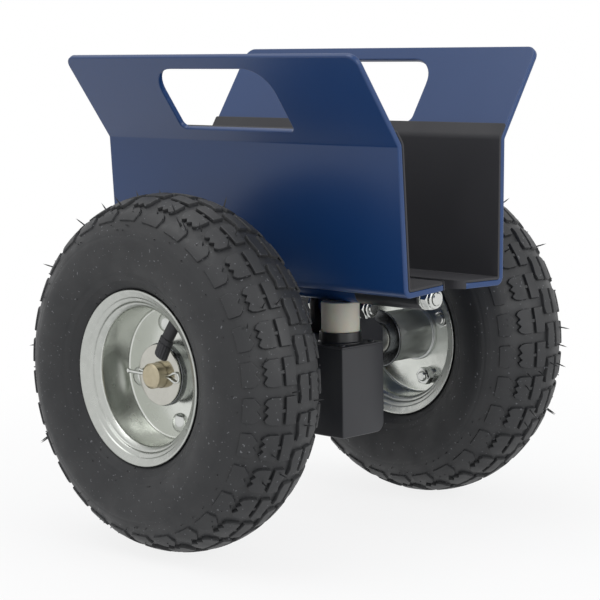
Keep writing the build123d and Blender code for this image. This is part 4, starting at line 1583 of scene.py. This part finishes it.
@dataclass
class Jaw:
    """One jaw: a bent plate with a hand hole, its rubber lining, and the pivot lug under its lip."""

    side: Side
    length: float = 319.0
    plate: float = 4.5
    lining: float = 2.0
    lean: float = radians(2.3)
    flare: float = radians(33.7)
    corner_y: float = 55.5
    corner_z: float = 194.3
    lip_gap: float = 6.5
    wall_height: float = 110.4
    flare_height: float = 79.0
    corner_bend: float = 7.0
    flare_bend: float = 3.0
    lip_corner: float = 10.0
    flare_corner: float = 9.0
    hole_length: float = 124.0
    hole_bottom: float = 10.8
    hole_strap: float = 11.5
    hole_top_round: float = 22.0
    hole_bottom_round: float = 5.0
    edge: float = 1.1
    lining_setback: float = 2.5
    lining_below_hole: float = 0.8
    lining_round: float = 1.5
    lining_edge: float = 0.5
    wrap: float = 0.45
    wrap_reach: float = 6.6
    wrap_foot: float = 0.1
    fold_columns: int = 36
    fold_rows: int = 26
    fold_room: float = 2.5
    mark_room: float = 0.3
    pivot: Point = (PIVOT_OUT, PIVOT_HEIGHT)
    lug_radius: float = 11.0
    lug_half: float = 17.0
    lug_bore: float = 7.0
    lug_gap: float = 0.05
    lug_edge: float = 0.8
    rock: float = radians(1.0)

    def add(self, word: str, mesh: BMesh, finish: Finish, node: str) -> None:
        """Put one of this jaw's shapes on its body, for one of its nodes."""
        label = self.side.label
        publish(f"{label}_{word}", mesh, finish, f"{label}_jaw", [f"{label}_{node}"])

    def build(self) -> None:
        """Build and dress every piece of the jaw."""
        self.build_plate()
        self.build_lining()
        self.build_lug()

    @property
    def lip_length(self) -> float:
        """Length of the lip along its slope."""
        return (self.corner_y - self.lip_gap) / cos(self.lean)

    def line(self, lip_start: float, flare_reach: float) -> BentLine:
        """Draw the line of the outer face.

        Args:
            lip_start: Where it starts, as a distance along the lip from the corner.
            flare_reach: Where it ends, as a distance up the flare.

        Returns:
            The line as outset and height.
        """
        bend_y = self.corner_y + self.wall_height * sin(self.lean)
        bend_z = self.corner_z + self.wall_height * cos(self.lean)
        return BentLine(
            [
                (self.corner_y - lip_start * cos(self.lean), self.corner_z + lip_start * sin(self.lean), 0),
                (self.corner_y, self.corner_z, self.corner_bend),
                (bend_y, bend_z, self.flare_bend),
                (bend_y + flare_reach * sin(self.flare), bend_z + flare_reach * cos(self.flare), 0),
            ]
        )

    def rocked(self, x: float, y: float, z: float) -> Vector:
        """Put a point on this side and turn it about the pivot by the rock at rest.

        Args:
            x: Place along the jaws.
            y: Outset.
            z: Height.

        Returns:
            The point in the frame's axes.
        """
        turn = -self.side.value * self.rock
        out, up = y - self.pivot[0], z - self.pivot[1]
        outset = self.pivot[0] + out * cos(turn) + up * sin(turn)
        return Vector((x, self.side.value * outset, self.pivot[1] + up * cos(turn) - out * sin(turn)))

    def placed(self, line: BentLine) -> Place:
        """Placement of a flat sheet folded along a line on this side."""
        return lambda x, distance, height: self.rocked(x, *line.at(distance, height))

    def fold_grid(self, line: BentLine) -> list[Point]:
        """Find points for the faces of a folded sheet to follow.

        Args:
            line: Line of the fold.

        Returns:
            Points in rows along the bends and across the flats.
        """
        half = self.length / 2
        columns = [half * (2 * i / self.fold_columns - 1) for i in range(1, self.fold_columns)]
        flats = [line.length * i / self.fold_rows for i in range(1, self.fold_rows)]
        rows = list(line.stations[1:-1])
        rows += [d for d in flats if all(abs(d - station) > self.fold_room for station in line.stations)]
        return [(x, d) for x in columns for d in rows]

    def outline(self, line: BentLine, lip_round: float, top_round: float) -> list[Point]:
        """Draw the flat outline of a sheet, with points where the bends cross its ends.

        Args:
            line: Line of the fold.
            lip_round: Radius of the corners at the lip.
            top_round: Radius of the corners at the top.

        Returns:
            Place along the jaws and distance along the line.
        """
        x, top = self.length / 2, line.length
        corners = [(-x, 0, lip_round), (x, 0, lip_round), (x, top, top_round), (-x, top, top_round)]
        points: list[Point] = []
        for start, end in around(rounded(corners, steps=8)):
            points.append(start)
            if abs(start[0] - end[0]) < ZERO:
                low, high = min(start[1], end[1]), max(start[1], end[1])
                marks = [d for d in line.stations if low + self.mark_room < d < high - self.mark_room]
                points += [(start[0], d) for d in (marks if end[1] > start[1] else reversed(marks))]
        return points

    def build_plate(self) -> None:
        """Bent steel plate with rounded edges and the hand hole."""
        line = self.line(self.lip_length, self.flare_height)
        low, high = line.length - self.flare_height + self.hole_bottom, line.length - self.hole_strap
        x, under, over = self.hole_length / 2, self.hole_bottom_round, self.hole_top_round
        hole = rounded([(-x, low, under), (x, low, under), (x, high, over), (-x, high, over)], steps=10)
        outline = self.outline(line, self.lip_corner, self.flare_corner)
        levels = edge_levels(0.0, self.plate, self.edge)
        mesh = bmesh.new()
        sheet(mesh, outline, [hole], levels, self.placed(line), self.fold_grid(line))
        self.add("jaw_bent_plate", mesh, POWDER_COAT, "jaw_plate")

    def build_lining(self) -> None:
        """Sheet rubber glued inside the plate, from the lip to below the hand hole."""
        line = self.line(self.lip_length - self.lining_setback, self.hole_bottom - self.lining_below_hole)
        outline = self.outline(line, self.lip_corner - self.lining_setback, self.lining_round)
        levels = edge_levels(self.plate + GAP, self.plate + self.lining, self.lining_edge, 3)
        mesh = bmesh.new()
        sheet(mesh, outline, [], levels, self.placed(line), self.fold_grid(line))
        self.add_wrap(mesh)
        self.add("jaw_rubber", mesh, SHEET_RUBBER, "jaw_lining")

    def add_wrap(self, mesh: BMesh) -> None:
        """Add a thin dark band of the lining's rubber that covers the plate's edge along the lip's free edge
        and round its corners.

        Args:
            mesh: Mesh of the lining.
        """
        line = self.line(self.lip_length, self.flare_height)
        loop = self.outline(line, self.lip_corner, self.flare_corner)
        pairs = [pair for pair in zip(loop, inset(loop, -self.wrap)) if pair[0][1] < self.wrap_reach]
        band = [near for near, _ in pairs] + [out for _, out in reversed(pairs)]
        sheet(mesh, band, [], [(0.0, self.plate + self.lining), (0.0, self.wrap_foot)], self.placed(line))

    def build_lug(self) -> None:
        """Pivot lug welded under the lip, with the bore for its bush."""
        (y, z), radius = self.pivot, self.lug_radius
        top = self.corner_z + (self.corner_y - y + radius) * tan(self.lean)
        outline = [
            (y + radius, z),
            (self.corner_y, self.corner_z - self.lug_gap),
            (y - radius, top - self.lug_gap),
            (y - radius, z),
            *arc((y, z), radius, pi, FULL_TURN, 20)[1:-1],
        ]
        levels = edge_levels(-self.lug_half, self.lug_half, self.lug_edge, 3)
        mesh = bmesh.new()
        sheet(
            mesh,
            outline,
            [circle((y, z), self.lug_bore, 32)],
            levels,
            lambda outset, height, x: self.rocked(x, outset, height),
        )
        self.add("pivot_lug_block", mesh, POWDER_COAT, "pivot_lug")


# Chassis

# Lid screw from its point to the middle of its round recess, as height over the lid and radius, with
# the angles at which its dome is drawn in between
SCREW_SHANK = ((-11.9, 0.0), (-11.9, 1.4), (-11.0, 1.9), (0.0, 1.9), (0.0, 3.0), (0.4, 3.0))
SCREW_TURNS = (0.3, 0.6, 0.9, 1.15)
SCREW_RECESS = ((1.6, 0.9), (0.9, 0.6), (0.9, 0.0))

# Split pin as place across the axle, height over it and share of the wire's radius, and its long leg's
# bulb as distance along the leg and radius
PIN_SHORT_LEG = ((-20.0, 2.4, 0.9), (-15.5, 1.5, 0.9), (-10.5, 0.6, 0.9))
PIN_EYE = (
    (9.5, 0.7, 0.9), (13.0, 1.3, 0.9), (16.5, 2.8, 0.9), (19.5, 3.7, 0.9), (22.2, 3.2, 0.9), (24.0, 1.5, 0.9)
)
PIN_LONG_LEG = ((-10.5, -0.4, 1.3), (-22.0, -0.3, 1.45), (-32.4, 0.0, 1.45))
PIN_BULB = ((0.0, 0.0), (0.0, 1.0), (0.5, 1.7), (1.3, 2.0), (2.0, 1.8), (2.5, 1.0), (2.6, 0.0))


@dataclass
class Chassis:
    """Centre housing with its lid, pivot brackets and bolts, and the axle."""

    body: str = "chassis"
    length: float = 130.0
    width: float = 47.0
    bottom: float = 75.0
    top: float = 146.2
    lid: float = 1.5
    lid_round: float = 1.2
    plate_edge: float = 0.5
    wall: float = 3.0
    fold: float = 8.0
    sharp_fold: float = radians(40)
    box_round: float = 1.3
    screw_x: float = 58.1
    screw_y: float = 16.6
    screw_radius: float = 3.0
    screw_rim: float = 0.4
    screw_dome: float = 1.3
    plunger_play: float = 0.06
    collar_wall: float = 1.6
    collar_height: float = 9.0
    collar_foot: tuple[Corner, ...] = ((0.0, 1.4, 0.2), (0.8, 1.2, 0.3), (1.6, 0.0, 0.6))
    ear_radius: float = 15.0
    ear_neck: float = 11.0
    bracket_shoulder: float = 18.0
    bracket_foot: float = 113.0
    bracket_reach: float = 24.0
    bracket_starts: Point = (17.5, -22.5)
    bracket_gauge: float = 5.0
    bracket_edge: float = 0.6
    stop_half: float = 17.45
    stop_low: float = 151.0
    stop_high: float = 173.0
    stop_faces: Point = (56.4, 59.4)
    bolt_seat: float = 24.5
    bolt_end: float = 35.0
    bolt_washer: Point = (22.52, 24.48)
    axle_radius: float = 9.5
    axle_end: float = 162.5
    axle_chamfer: tuple[Point, ...] = ((0.0, 0.0), (0.0, 7.6), (0.35, 8.2))
    axle_slope: float = 1.5
    axle_sharp: float = radians(20)
    axle_bore: float = 9.56
    sleeve_ends: Point = (23.52, 87.38)
    sleeve_radius: float = 11.0
    sleeve_edge: float = 0.4
    axle_washer: Point = (151.62, 153.08)
    axle_washer_radius: float = 23.0
    axle_washer_edge: float = 0.5
    pin_y: float = 154.7
    pin_wire: float = 0.95
    pin_bulb_x: float = -31.3

    def add(self, name: str, shape: Shape, finish: Finish, node: str, sharp: float = SHARP_ANGLE) -> None:
        """Put a shape on the chassis for one of its nodes."""
        publish(name, shape, finish, self.body, [node], sharp)

    def build(self) -> None:
        """Build and dress every piece of the chassis."""
        self.build_shell()
        self.build_lid()
        self.build_lid_screws()
        self.build_collars()
        self.build_brackets()
        self.build_stops()
        self.build_pivot_bolts()
        self.build_axle()
        self.build_sleeves()
        self.build_axle_washers()
        self.build_split_pins()

    def build_shell(self) -> None:
        """Folded box, open at the top, with small rounds on its edges."""
        half_y, rim = self.width / 2, self.top - self.wall
        depth = self.top - self.lid - self.bottom
        mesh = bmesh.new()
        made = bmesh.ops.create_cube(mesh, size=1.0)["verts"]
        bmesh.ops.scale(mesh, verts=made, vec=(self.length, self.width, depth))
        bmesh.ops.translate(mesh, verts=made, vec=(0, 0, self.bottom + depth / 2))
        fold = [e for e in mesh.edges if all(v.co.z < rim and v.co.y > half_y - self.wall for v in e.verts)]
        bmesh.ops.bevel(mesh, geom=fold, offset=self.fold, segments=8, profile=0.5, affect="EDGES")
        small = [
            e
            for e in mesh.edges
            if len(e.link_faces) == 2
            and e.calc_face_angle(0) > self.sharp_fold
            and min(v.co.z for v in e.verts) < rim
        ]
        bmesh.ops.bevel(mesh, geom=small, offset=self.box_round, segments=3, profile=0.5, affect="EDGES")
        top = [f for f in mesh.faces if f.normal.z > 0.9 and f.calc_center_median().z > rim]
        bmesh.ops.inset_region(mesh, faces=top, thickness=self.wall, depth=0.0)
        pressed = bmesh.ops.extrude_face_region(mesh, geom=top)
        floor = [v for v in pressed["geom"] if isinstance(v, bmesh.types.BMVert)]
        bmesh.ops.translate(mesh, verts=floor, vec=(0, 0, self.wall - depth))
        bmesh.ops.delete(mesh, geom=top, context="FACES")
        self.add("housing_box", mesh, BLACK_ENAMEL, "housing_shell")

    def build_lid(self) -> None:
        """Lid plate with holes for the plungers."""
        x, y, corner = self.length / 2, self.width / 2, self.lid_round
        outline = rounded([(-x, -y, corner), (x, -y, corner), (x, y, corner), (-x, y, corner)])
        holes = [circle((x, 0), PLUNGER_RADIUS + self.plunger_play, 48) for x in (-PLUNGER_X, PLUNGER_X)]
        levels = edge_levels(self.top - self.lid + GAP, self.top, self.plate_edge, 3)
        mesh = bmesh.new()
        sheet(mesh, outline, holes, levels, lambda x, y, z: Vector((x, y, z)))
        self.add("housing_lid_plate", mesh, BLACK_ENAMEL, "housing_lid")

    def build_lid_screws(self) -> None:
        """Four domed screws with a round recess."""
        rim, dome, radius = self.screw_rim, self.screw_dome, self.screw_radius
        crown = [(rim + dome * sin(t), radius * cos(t)) for t in SCREW_TURNS]
        mesh = turned_at([*SCREW_SHANK, *crown, *SCREW_RECESS], 24, Matrix())
        spacing = {"Spacing_X": self.screw_x * 2 * MM, "Spacing_Y": self.screw_y * 2 * MM}
        place = Matrix.Translation((0, 0, self.top))
        screws = repeated("lid_screw_set", mesh, Repeat.GRID, BLACK_ENAMEL, place, **spacing)
        self.add("lid_screw_set", screws, BLACK_ENAMEL, "lid_screws")

    def build_collars(self) -> None:
        """Guide collars that the plungers slide in, flared at the foot."""
        inner, outer = PLUNGER_RADIUS + self.plunger_play, PLUNGER_RADIUS + self.collar_wall
        foot = [(height, outer + flare, corner) for height, flare, corner in self.collar_foot]
        mouth = [(self.collar_height, outer, 0.5), (self.collar_height, inner, 0.3)]
        section = rounded([(0.0, inner, 0.0), *foot, *mouth], steps=3)
        places = [Matrix.Translation((x, 0, self.top)) for x in (-PLUNGER_X, PLUNGER_X)]
        mesh = turned_at(section, 64, *places)
        self.add("guide_collar_pair", mesh, DEEP_BLACK_COLLAR, "guide_collars")

    def build_brackets(self) -> None:
        """Eared plates on each flank, with rounded edges."""
        y, z, radius = PIVOT_OUT, PIVOT_HEIGHT, self.ear_radius
        flank, far = self.width / 2 + GAP, y + self.bracket_reach
        neck, shoulder, foot = z - self.ear_neck, z - self.bracket_shoulder, self.bracket_foot
        corners = [
            (y - radius, neck, 3.0), (flank, shoulder, 1.1), (flank, foot, 1.1),
            (far, foot, 2.0), (far, shoulder, 4.0), (y + radius, neck, 3.0),
            *[(*point, 0.0) for point in arc((y, z), radius, 0, pi, 24)],
        ]
        outline, hole = rounded(corners, steps=4), circle((y, z), ROD_BORE, 32)
        for side in Side:
            mesh = bmesh.new()
            for start in self.bracket_starts:
                sheet(
                    mesh,
                    outline,
                    [hole],
                    edge_levels(start, start + self.bracket_gauge, self.bracket_edge, 3),
                    lambda outset, height, x, out=side.value: Vector((x, out * outset, height)),
                )
            self.add(f"{side.label}_bracket_pair", mesh, BLACK_ENAMEL, f"{side.label}_pivot_brackets")

    def build_stops(self) -> None:
        """Stop plates between the brackets, with rounded edges."""
        half, low, high = self.stop_half, self.stop_low, self.stop_high
        outline = rounded([(-half, low, 1.0), (half, low, 1.0), (half, high, 1.5), (-half, high, 1.5)])
        levels = edge_levels(*self.stop_faces, self.plate_edge, 3)
        mesh = bmesh.new()
        for side in Side:
            sheet(mesh, outline, [], levels, lambda x, z, y, out=side.value: Vector((x, out * y, z)))
        self.add("stop_plate_pair", mesh, BLACK_ENAMEL, "stop_plates")

    def build_pivot_bolts(self) -> None:
        """Hexagon bolts along X with washers and lock nuts."""
        bolts, washers, nuts = bmesh.new(), bmesh.new(), bmesh.new()
        seat, end = self.bolt_seat, self.bolt_end
        thread = thread_section(seat, end, ROD_RADIUS, ROD_PITCH, ROD_TIP)
        washer = ring_section(*self.bolt_washer, ROD_BORE, WASHER_RADIUS, WASHER_EDGE)
        lift = Matrix.Translation((0, 0, seat))
        for side in Side:
            spot = (0, side.value * PIVOT_OUT, PIVOT_HEIGHT)
            forward, back = along(spot, (1, 0, 0)), along(spot, (-1, 0, 0))
            turned(bolts, [(-seat, 0.0), (-seat, ROD_RADIUS), *thread, (end, 0.0)], 40, forward)
            BOLT_HEAD.add(bolts, back @ lift)
            for place in (forward, back):
                turned(washers, washer, 48, place)
            LOCK_NUT.add(nuts, forward @ lift)
        self.add("pivot_bolt_pair", bolts, ZINC_HARDWARE, "pivot_bolts")
        self.add("pivot_washer_set", washers, ZINC_HARDWARE, "pivot_washers")
        self.add("pivot_lock_nuts", nuts, ZINC_HARDWARE, "pivot_nuts")

    def on_axle(self, side: Side) -> Matrix:
        """Placement whose local Z runs along the axle to one side."""
        return along((0, 0, AXLE_HEIGHT), (0, side.value, 0))

    def build_axle(self) -> None:
        """Axle with chamfered ends."""
        end = self.axle_end
        tip = [*self.axle_chamfer, (self.axle_slope, self.axle_radius)]
        half = [(end - depth, radius) for depth, radius in reversed(tip)]
        mesh = turned_at([*mirrored(half), *half], 64, self.on_axle(Side.FAR))
        self.add("axle_bar", mesh, AXLE_STEEL, "axle", self.axle_sharp)

    def build_sleeves(self) -> None:
        """Spacer sleeves between the housing and the hubs."""
        section = ring_section(*self.sleeve_ends, self.axle_bore, self.sleeve_radius, self.sleeve_edge)
        for side in Side:
            mesh = turned_at(section, 64, self.on_axle(side))
            self.add(f"{side.label}_spacer_sleeve", mesh, ZINC_DULL, f"{side.label}_axle_sleeve")

    def build_axle_washers(self) -> None:
        """Thick washers outside the hubs."""
        section = ring_section(
            *self.axle_washer, self.axle_bore, self.axle_washer_radius, self.axle_washer_edge
        )
        mesh = turned_at(section, 64, *[self.on_axle(side) for side in Side])
        self.add("axle_washer_pair", mesh, ZINC_POLISHED, "axle_washers")

    def build_split_pins(self) -> None:
        """Split pins: an eye on one side of the axle, and legs through it."""
        under = [(x, -z, share) for x, z, share in reversed(PIN_EYE)]
        pins = []
        for side in Side:
            y = side.value * self.pin_y
            path = [*PIN_SHORT_LEG, *PIN_EYE, *under, *PIN_LONG_LEG]
            pins.append(wire("pin", [(x, y, AXLE_HEIGHT + z, share) for x, z, share in path], self.pin_wire))
            foot = along((self.pin_bulb_x, y, AXLE_HEIGHT), (-1, 0, 0))
            pins.append(make_mesh("bulb", turned_at(PIN_BULB, 20, foot)))
        self.add("split_pin_pair", joined("pins", pins), ZINC_HARDWARE, "cotter_pins")


@dataclass
class LoadBar:
    """Load bar under the slab: tube, end sleeves, rod with lock nuts, and two plungers on springs."""

    body: str = "load_bar"
    height: float = 187.776
    tube_radius: float = 9.25
    tube_half: float = 65.0
    tube_edge: float = 0.6
    sleeve_radius: float = 9.5
    sleeve_edge: float = 0.7
    bar_half: float = 129.5
    washer: float = 2.0
    rod_tail: float = 12.5
    plunger_length: float = 57.0
    plunger_foot: float = 0.6
    plunger_head: float = 1.2
    travel: float = 12.0
    spring_body: str = "chassis"
    spring_seat: float = 78.0
    spring_radius: float = 11.75
    spring_wire: float = 2.5
    spring_gap: float = 0.1
    spring_turns: int = 6
    turn_points: int = 12

    def build(self) -> None:
        """Build and dress every piece of the load bar."""
        self.build_bar()
        self.build_plungers()
        self.build_springs()

    def build_bar(self) -> None:
        """Tube between two sleeves, and the rod that holds them with a washer and a lock nut at each end."""
        forward, back = (along((0, 0, self.height), (way, 0, 0)) for way in (1, -1))
        nuts = bmesh.new()
        end, half = self.bar_half, self.tube_half
        tube = ring_section(-half, half, ROD_BORE, self.tube_radius, self.tube_edge)
        sleeve = ring_section(half + GAP, end, ROD_BORE, self.sleeve_radius, self.sleeve_edge)
        low, high = end + GAP, end + (self.washer - GAP)
        washer = ring_section(low, high, ROD_BORE, WASHER_RADIUS, WASHER_EDGE)
        for place in (forward, back):
            LOCK_NUT.add(nuts, place @ Matrix.Translation((0, 0, end + self.washer)))
        tip = end + self.rod_tail
        outer = [*thread_section(end, tip, ROD_RADIUS, ROD_PITCH, ROD_TIP), (tip, 0.0)]
        rod = [*mirrored(outer), *outer]
        for name, mesh, node, finish in (
            ("load_tube_painted", turned_at(tube, 64, forward), "load_tube", POWDER_COAT),
            ("load_bar_end_sleeves", turned_at(sleeve, 64, forward, back), "load_bar_sleeves", BLACK_ENAMEL),
            ("load_bar_threaded_rod", turned_at(rod, 40, forward), "load_bar_rod", ZINC_HARDWARE),
            ("load_bar_washer_pair", turned_at(washer, 48, forward, back), "load_bar_washers", ZINC_HARDWARE),
            ("load_bar_lock_nuts", nuts, "load_bar_nuts", ZINC_HARDWARE),
        ):
            publish(name, mesh, finish, self.body, [node])

    def build_plungers(self) -> None:
        """Nylon plungers with rounded ends."""
        top, radius = self.height - self.tube_radius, PLUNGER_RADIUS
        low = top - self.plunger_length
        foot, head = (low, radius, self.plunger_foot), (top, radius, self.plunger_head)
        section = rounded([(low, 0.0, 0.0), foot, head, (top, 0.0, 0.0)], closed=False, steps=4)
        mesh = turned_at(section, 72, *[Matrix.Translation((x, 0, 0)) for x in (-PLUNGER_X, PLUNGER_X)])
        publish("plunger_pair", mesh, NYLON_ROD, self.body, ["nylon_plungers"])

    def build_springs(self) -> None:
        """Coil springs under the plungers, each piece given a mesh of its own."""
        room = self.height - self.tube_radius - self.plunger_length - self.spring_seat
        rise = room - self.spring_wire - 2 * self.spring_gap
        start = self.spring_seat + self.spring_gap + self.spring_wire / 2
        count = self.spring_turns * self.turn_points
        # The smooth line runs inside its control points by this much.
        reach = self.spring_radius / cos(pi / self.turn_points)
        coils = []
        for x in (-PLUNGER_X, PLUNGER_X):
            path = []
            for step in range(count + 1):
                turn = FULL_TURN * step / self.turn_points
                path.append((x + reach * cos(turn), reach * sin(turn), start + rise * step / count, 1.0))
            coils.append(wire("spring", path, self.spring_wire / 2))
        springs = joined("springs", coils)
        piece = publish("plunger_spring_pair", springs, TURNED_STEEL, self.spring_body, ["plunger_springs"])
        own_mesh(piece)


# CAD nodes whose shape is right, dressed in their finish
CARRIED_OVER = {
    "plunger_studs": ZINC_HARDWARE,
    "bearing_inner_rings": TURNED_STEEL,
    "near_inner_tube": BUTYL_RUBBER,
    "far_inner_tube": BUTYL_RUBBER,
    "near_bearing_balls": TURNED_STEEL,
    "far_bearing_balls": TURNED_STEEL,
    "near_pivot_bush": BRONZE,
    "far_pivot_bush": BRONZE,
}


def dress_carried_over() -> None:
    """Give each CAD node that stays its own finish."""
    for name, finish in CARRIED_OVER.items():
        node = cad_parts[name]
        node.data.materials.clear()
        node.data.materials.append(finish.material())
        log.info("%s keeps its CAD shape, %s", name, finish.name)


# Studio


@dataclass(frozen=True)
class Lamp:
    """Round soft lamp, its place in millimetres, its size in metres and its power in watts."""

    name: str
    spot: Corner
    size: float
    power: float


@dataclass
class Studio:
    """Camera at the photograph's viewpoint, soft lamps, a pale floor and a white surround."""

    azimuth: float = radians(44.87)
    distance: float = 1609.62
    height: float = 382.0
    aim_across: float = -2.4
    aim_height: float = 175.8
    roll: float = radians(-0.82)
    focal_px: float = 2042.0
    sensor: float = 36.0
    sight: float = 50.0
    white: str = "#ffffff"
    ambient: float = 0.62
    ambient_tone: str = "#f4f6fa"
    floor_tone: str = "#f2f2f2"
    floor_roughness: float = 0.9
    floor_radius: float = 2500.0
    floor_faces: Point = (-0.5, -2.0)
    floor_glow: float = 0.84
    # Distances in metres over which the floor fades to white
    floor_fade: Point = (0.2, 0.7)
    lamps: tuple[Lamp, ...] = (
        Lamp("top_softbox", (-200, -500, 1900), 1.6, 12.0),
        Lamp("right_softbox", (1900, 300, 900), 1.4, 13.0),
    )
    lamp_aim: Corner = (0, 0, 150)

    def build(self) -> None:
        """Set up everything that isn't part of the object."""
        self.build_camera()
        self.build_world()
        self.build_floor()
        self.build_lamps()
        bpy.context.scene.view_settings.view_transform = "Standard"

    def build_camera(self) -> None:
        """Camera from the fit of the photograph."""
        eye = Vector((self.distance * sin(self.azimuth), -self.distance * cos(self.azimuth), self.height))
        across = Vector((cos(self.azimuth), sin(self.azimuth), 0))
        aim = across * self.aim_across + Vector((0, 0, self.aim_height))
        ahead = (aim - eye).normalized()
        right = ahead.cross(Vector((0, 0, 1))).normalized()
        up = right.cross(ahead)
        turned_right = right * cos(self.roll) + up * sin(self.roll)
        turned_up = up * cos(self.roll) - right * sin(self.roll)
        data = bpy.data.cameras.new("photo_camera")
        data.sensor_width = self.sensor
        data.lens = self.focal_px * data.sensor_width / IMAGE_PX
        data.clip_end = self.sight
        camera = linked("photo_camera", data)
        turn = Matrix((turned_right, turned_up, -ahead)).transposed().to_4x4()
        camera.matrix_world = Matrix.Translation(eye * MM) @ turn
        bpy.context.scene.camera = camera

    def seen_ray(self, tree: NodeTree) -> NodeSocket:
        """Add the nodes that tell by which rays the surround is seen, directly or in metal or glass.

        Args:
            tree: Tree that takes the nodes.

        Returns:
            Socket that is one for those rays.
        """
        path = add_node(tree, "ShaderNodeLightPath").outputs
        seen = maths(tree, "MAXIMUM", path["Is Camera Ray"], path["Is Glossy Ray"])
        return maths(tree, "MAXIMUM", seen, path["Is Transmission Ray"])

    def build_world(self) -> None:
        """White surround for what is seen, and a plain soft light on the object."""
        world = bpy.data.worlds.new("studio_surround")
        bpy.context.scene.world = world
        world.use_nodes = True
        tree = world.node_tree
        tree.nodes.clear()
        soft = {"Color": linear(self.ambient_tone), "Strength": self.ambient}
        lit = add_node(tree, "ShaderNodeBackground", soft)
        seen = add_node(tree, "ShaderNodeBackground", {"Color": linear(self.white), "Strength": 1.0})
        ways = {0: self.seen_ray(tree), 1: lit.outputs[0], 2: seen.outputs[0]}
        both = add_node(tree, "ShaderNodeMixShader", ways)
        add_node(tree, "ShaderNodeOutputWorld", {"Surface": both.outputs[0]})

    def build_floor(self) -> None:
        """Pale floor that keeps a soft shadow and fades to the white surround."""
        (top, low), radius = self.floor_faces, self.floor_radius
        mesh = turned_at([(top, 0.0), (top, radius), (low, radius), (low, 0.0)], 96, Matrix())
        made = make_mesh("studio_floor", mesh)
        made.materials.append(self.floor_material())
        floor = linked("studio_floor", made)

    def floor_material(self) -> Material:
        """Make the floor's material.

        Returns:
            A matte white that glows more with the distance from the object.
        """
        material = bpy.data.materials.new("pale_studio_floor")
        material.use_nodes = True
        tree = material.node_tree
        shader = tree.nodes["Principled BSDF"]
        shader.inputs["Base Color"].default_value = linear(self.floor_tone)
        shader.inputs["Roughness"].default_value = self.floor_roughness
        glow = add_node(tree, "ShaderNodeEmission", {"Color": linear(self.white), "Strength": 1.0})
        spot = add_node(tree, "ShaderNodeTexCoord")
        reach = add_node(tree, "ShaderNodeVectorMath", {0: spot.outputs["Object"]}, operation="LENGTH")
        fade = ranged(tree, reach.outputs["Value"], self.floor_fade, (self.floor_glow, 1.0))
        share = maths(tree, "MULTIPLY", self.seen_ray(tree), fade)
        ways = {0: share, 1: shader.outputs[0], 2: glow.outputs[0]}
        both = add_node(tree, "ShaderNodeMixShader", ways)
        tree.links.new(both.outputs[0], tree.nodes["Material Output"].inputs["Surface"])
        return material

    def build_lamps(self) -> None:
        """Large soft lamps: one overhead and one from the right."""
        for lamp in self.lamps:
            data = bpy.data.lights.new(lamp.name, "AREA")
            data.shape = "DISK"
            data.size = lamp.size
            data.energy = lamp.power
            ahead = Vector(self.lamp_aim) - Vector(lamp.spot)
            turn = ahead.to_track_quat("-Z", "Y").to_matrix().to_4x4()
            linked(lamp.name, data).matrix_world = in_metres(Matrix.Translation(lamp.spot)) @ turn


# How far each wheel's tread and rim bolts are turned, in degrees
WHEEL_TURNS = {Side.NEAR: (0.95, 10.0), Side.FAR: (2.5, 67.0)}


def main() -> None:
    """Build the studio and every sub-assembly in order."""
    logging.basicConfig(level=logging.INFO, format="%(name)s: %(message)s")
    Studio().build()
    for side, (tread_phase, bolt_phase) in WHEEL_TURNS.items():
        Wheel(side, bolt_phase=bolt_phase, tyre=Tyre(phase=tread_phase)).build()
        Jaw(side).build()
    Chassis().build()
    LoadBar().build()
    dress_carried_over()


if __name__ == "__main__":
    main()
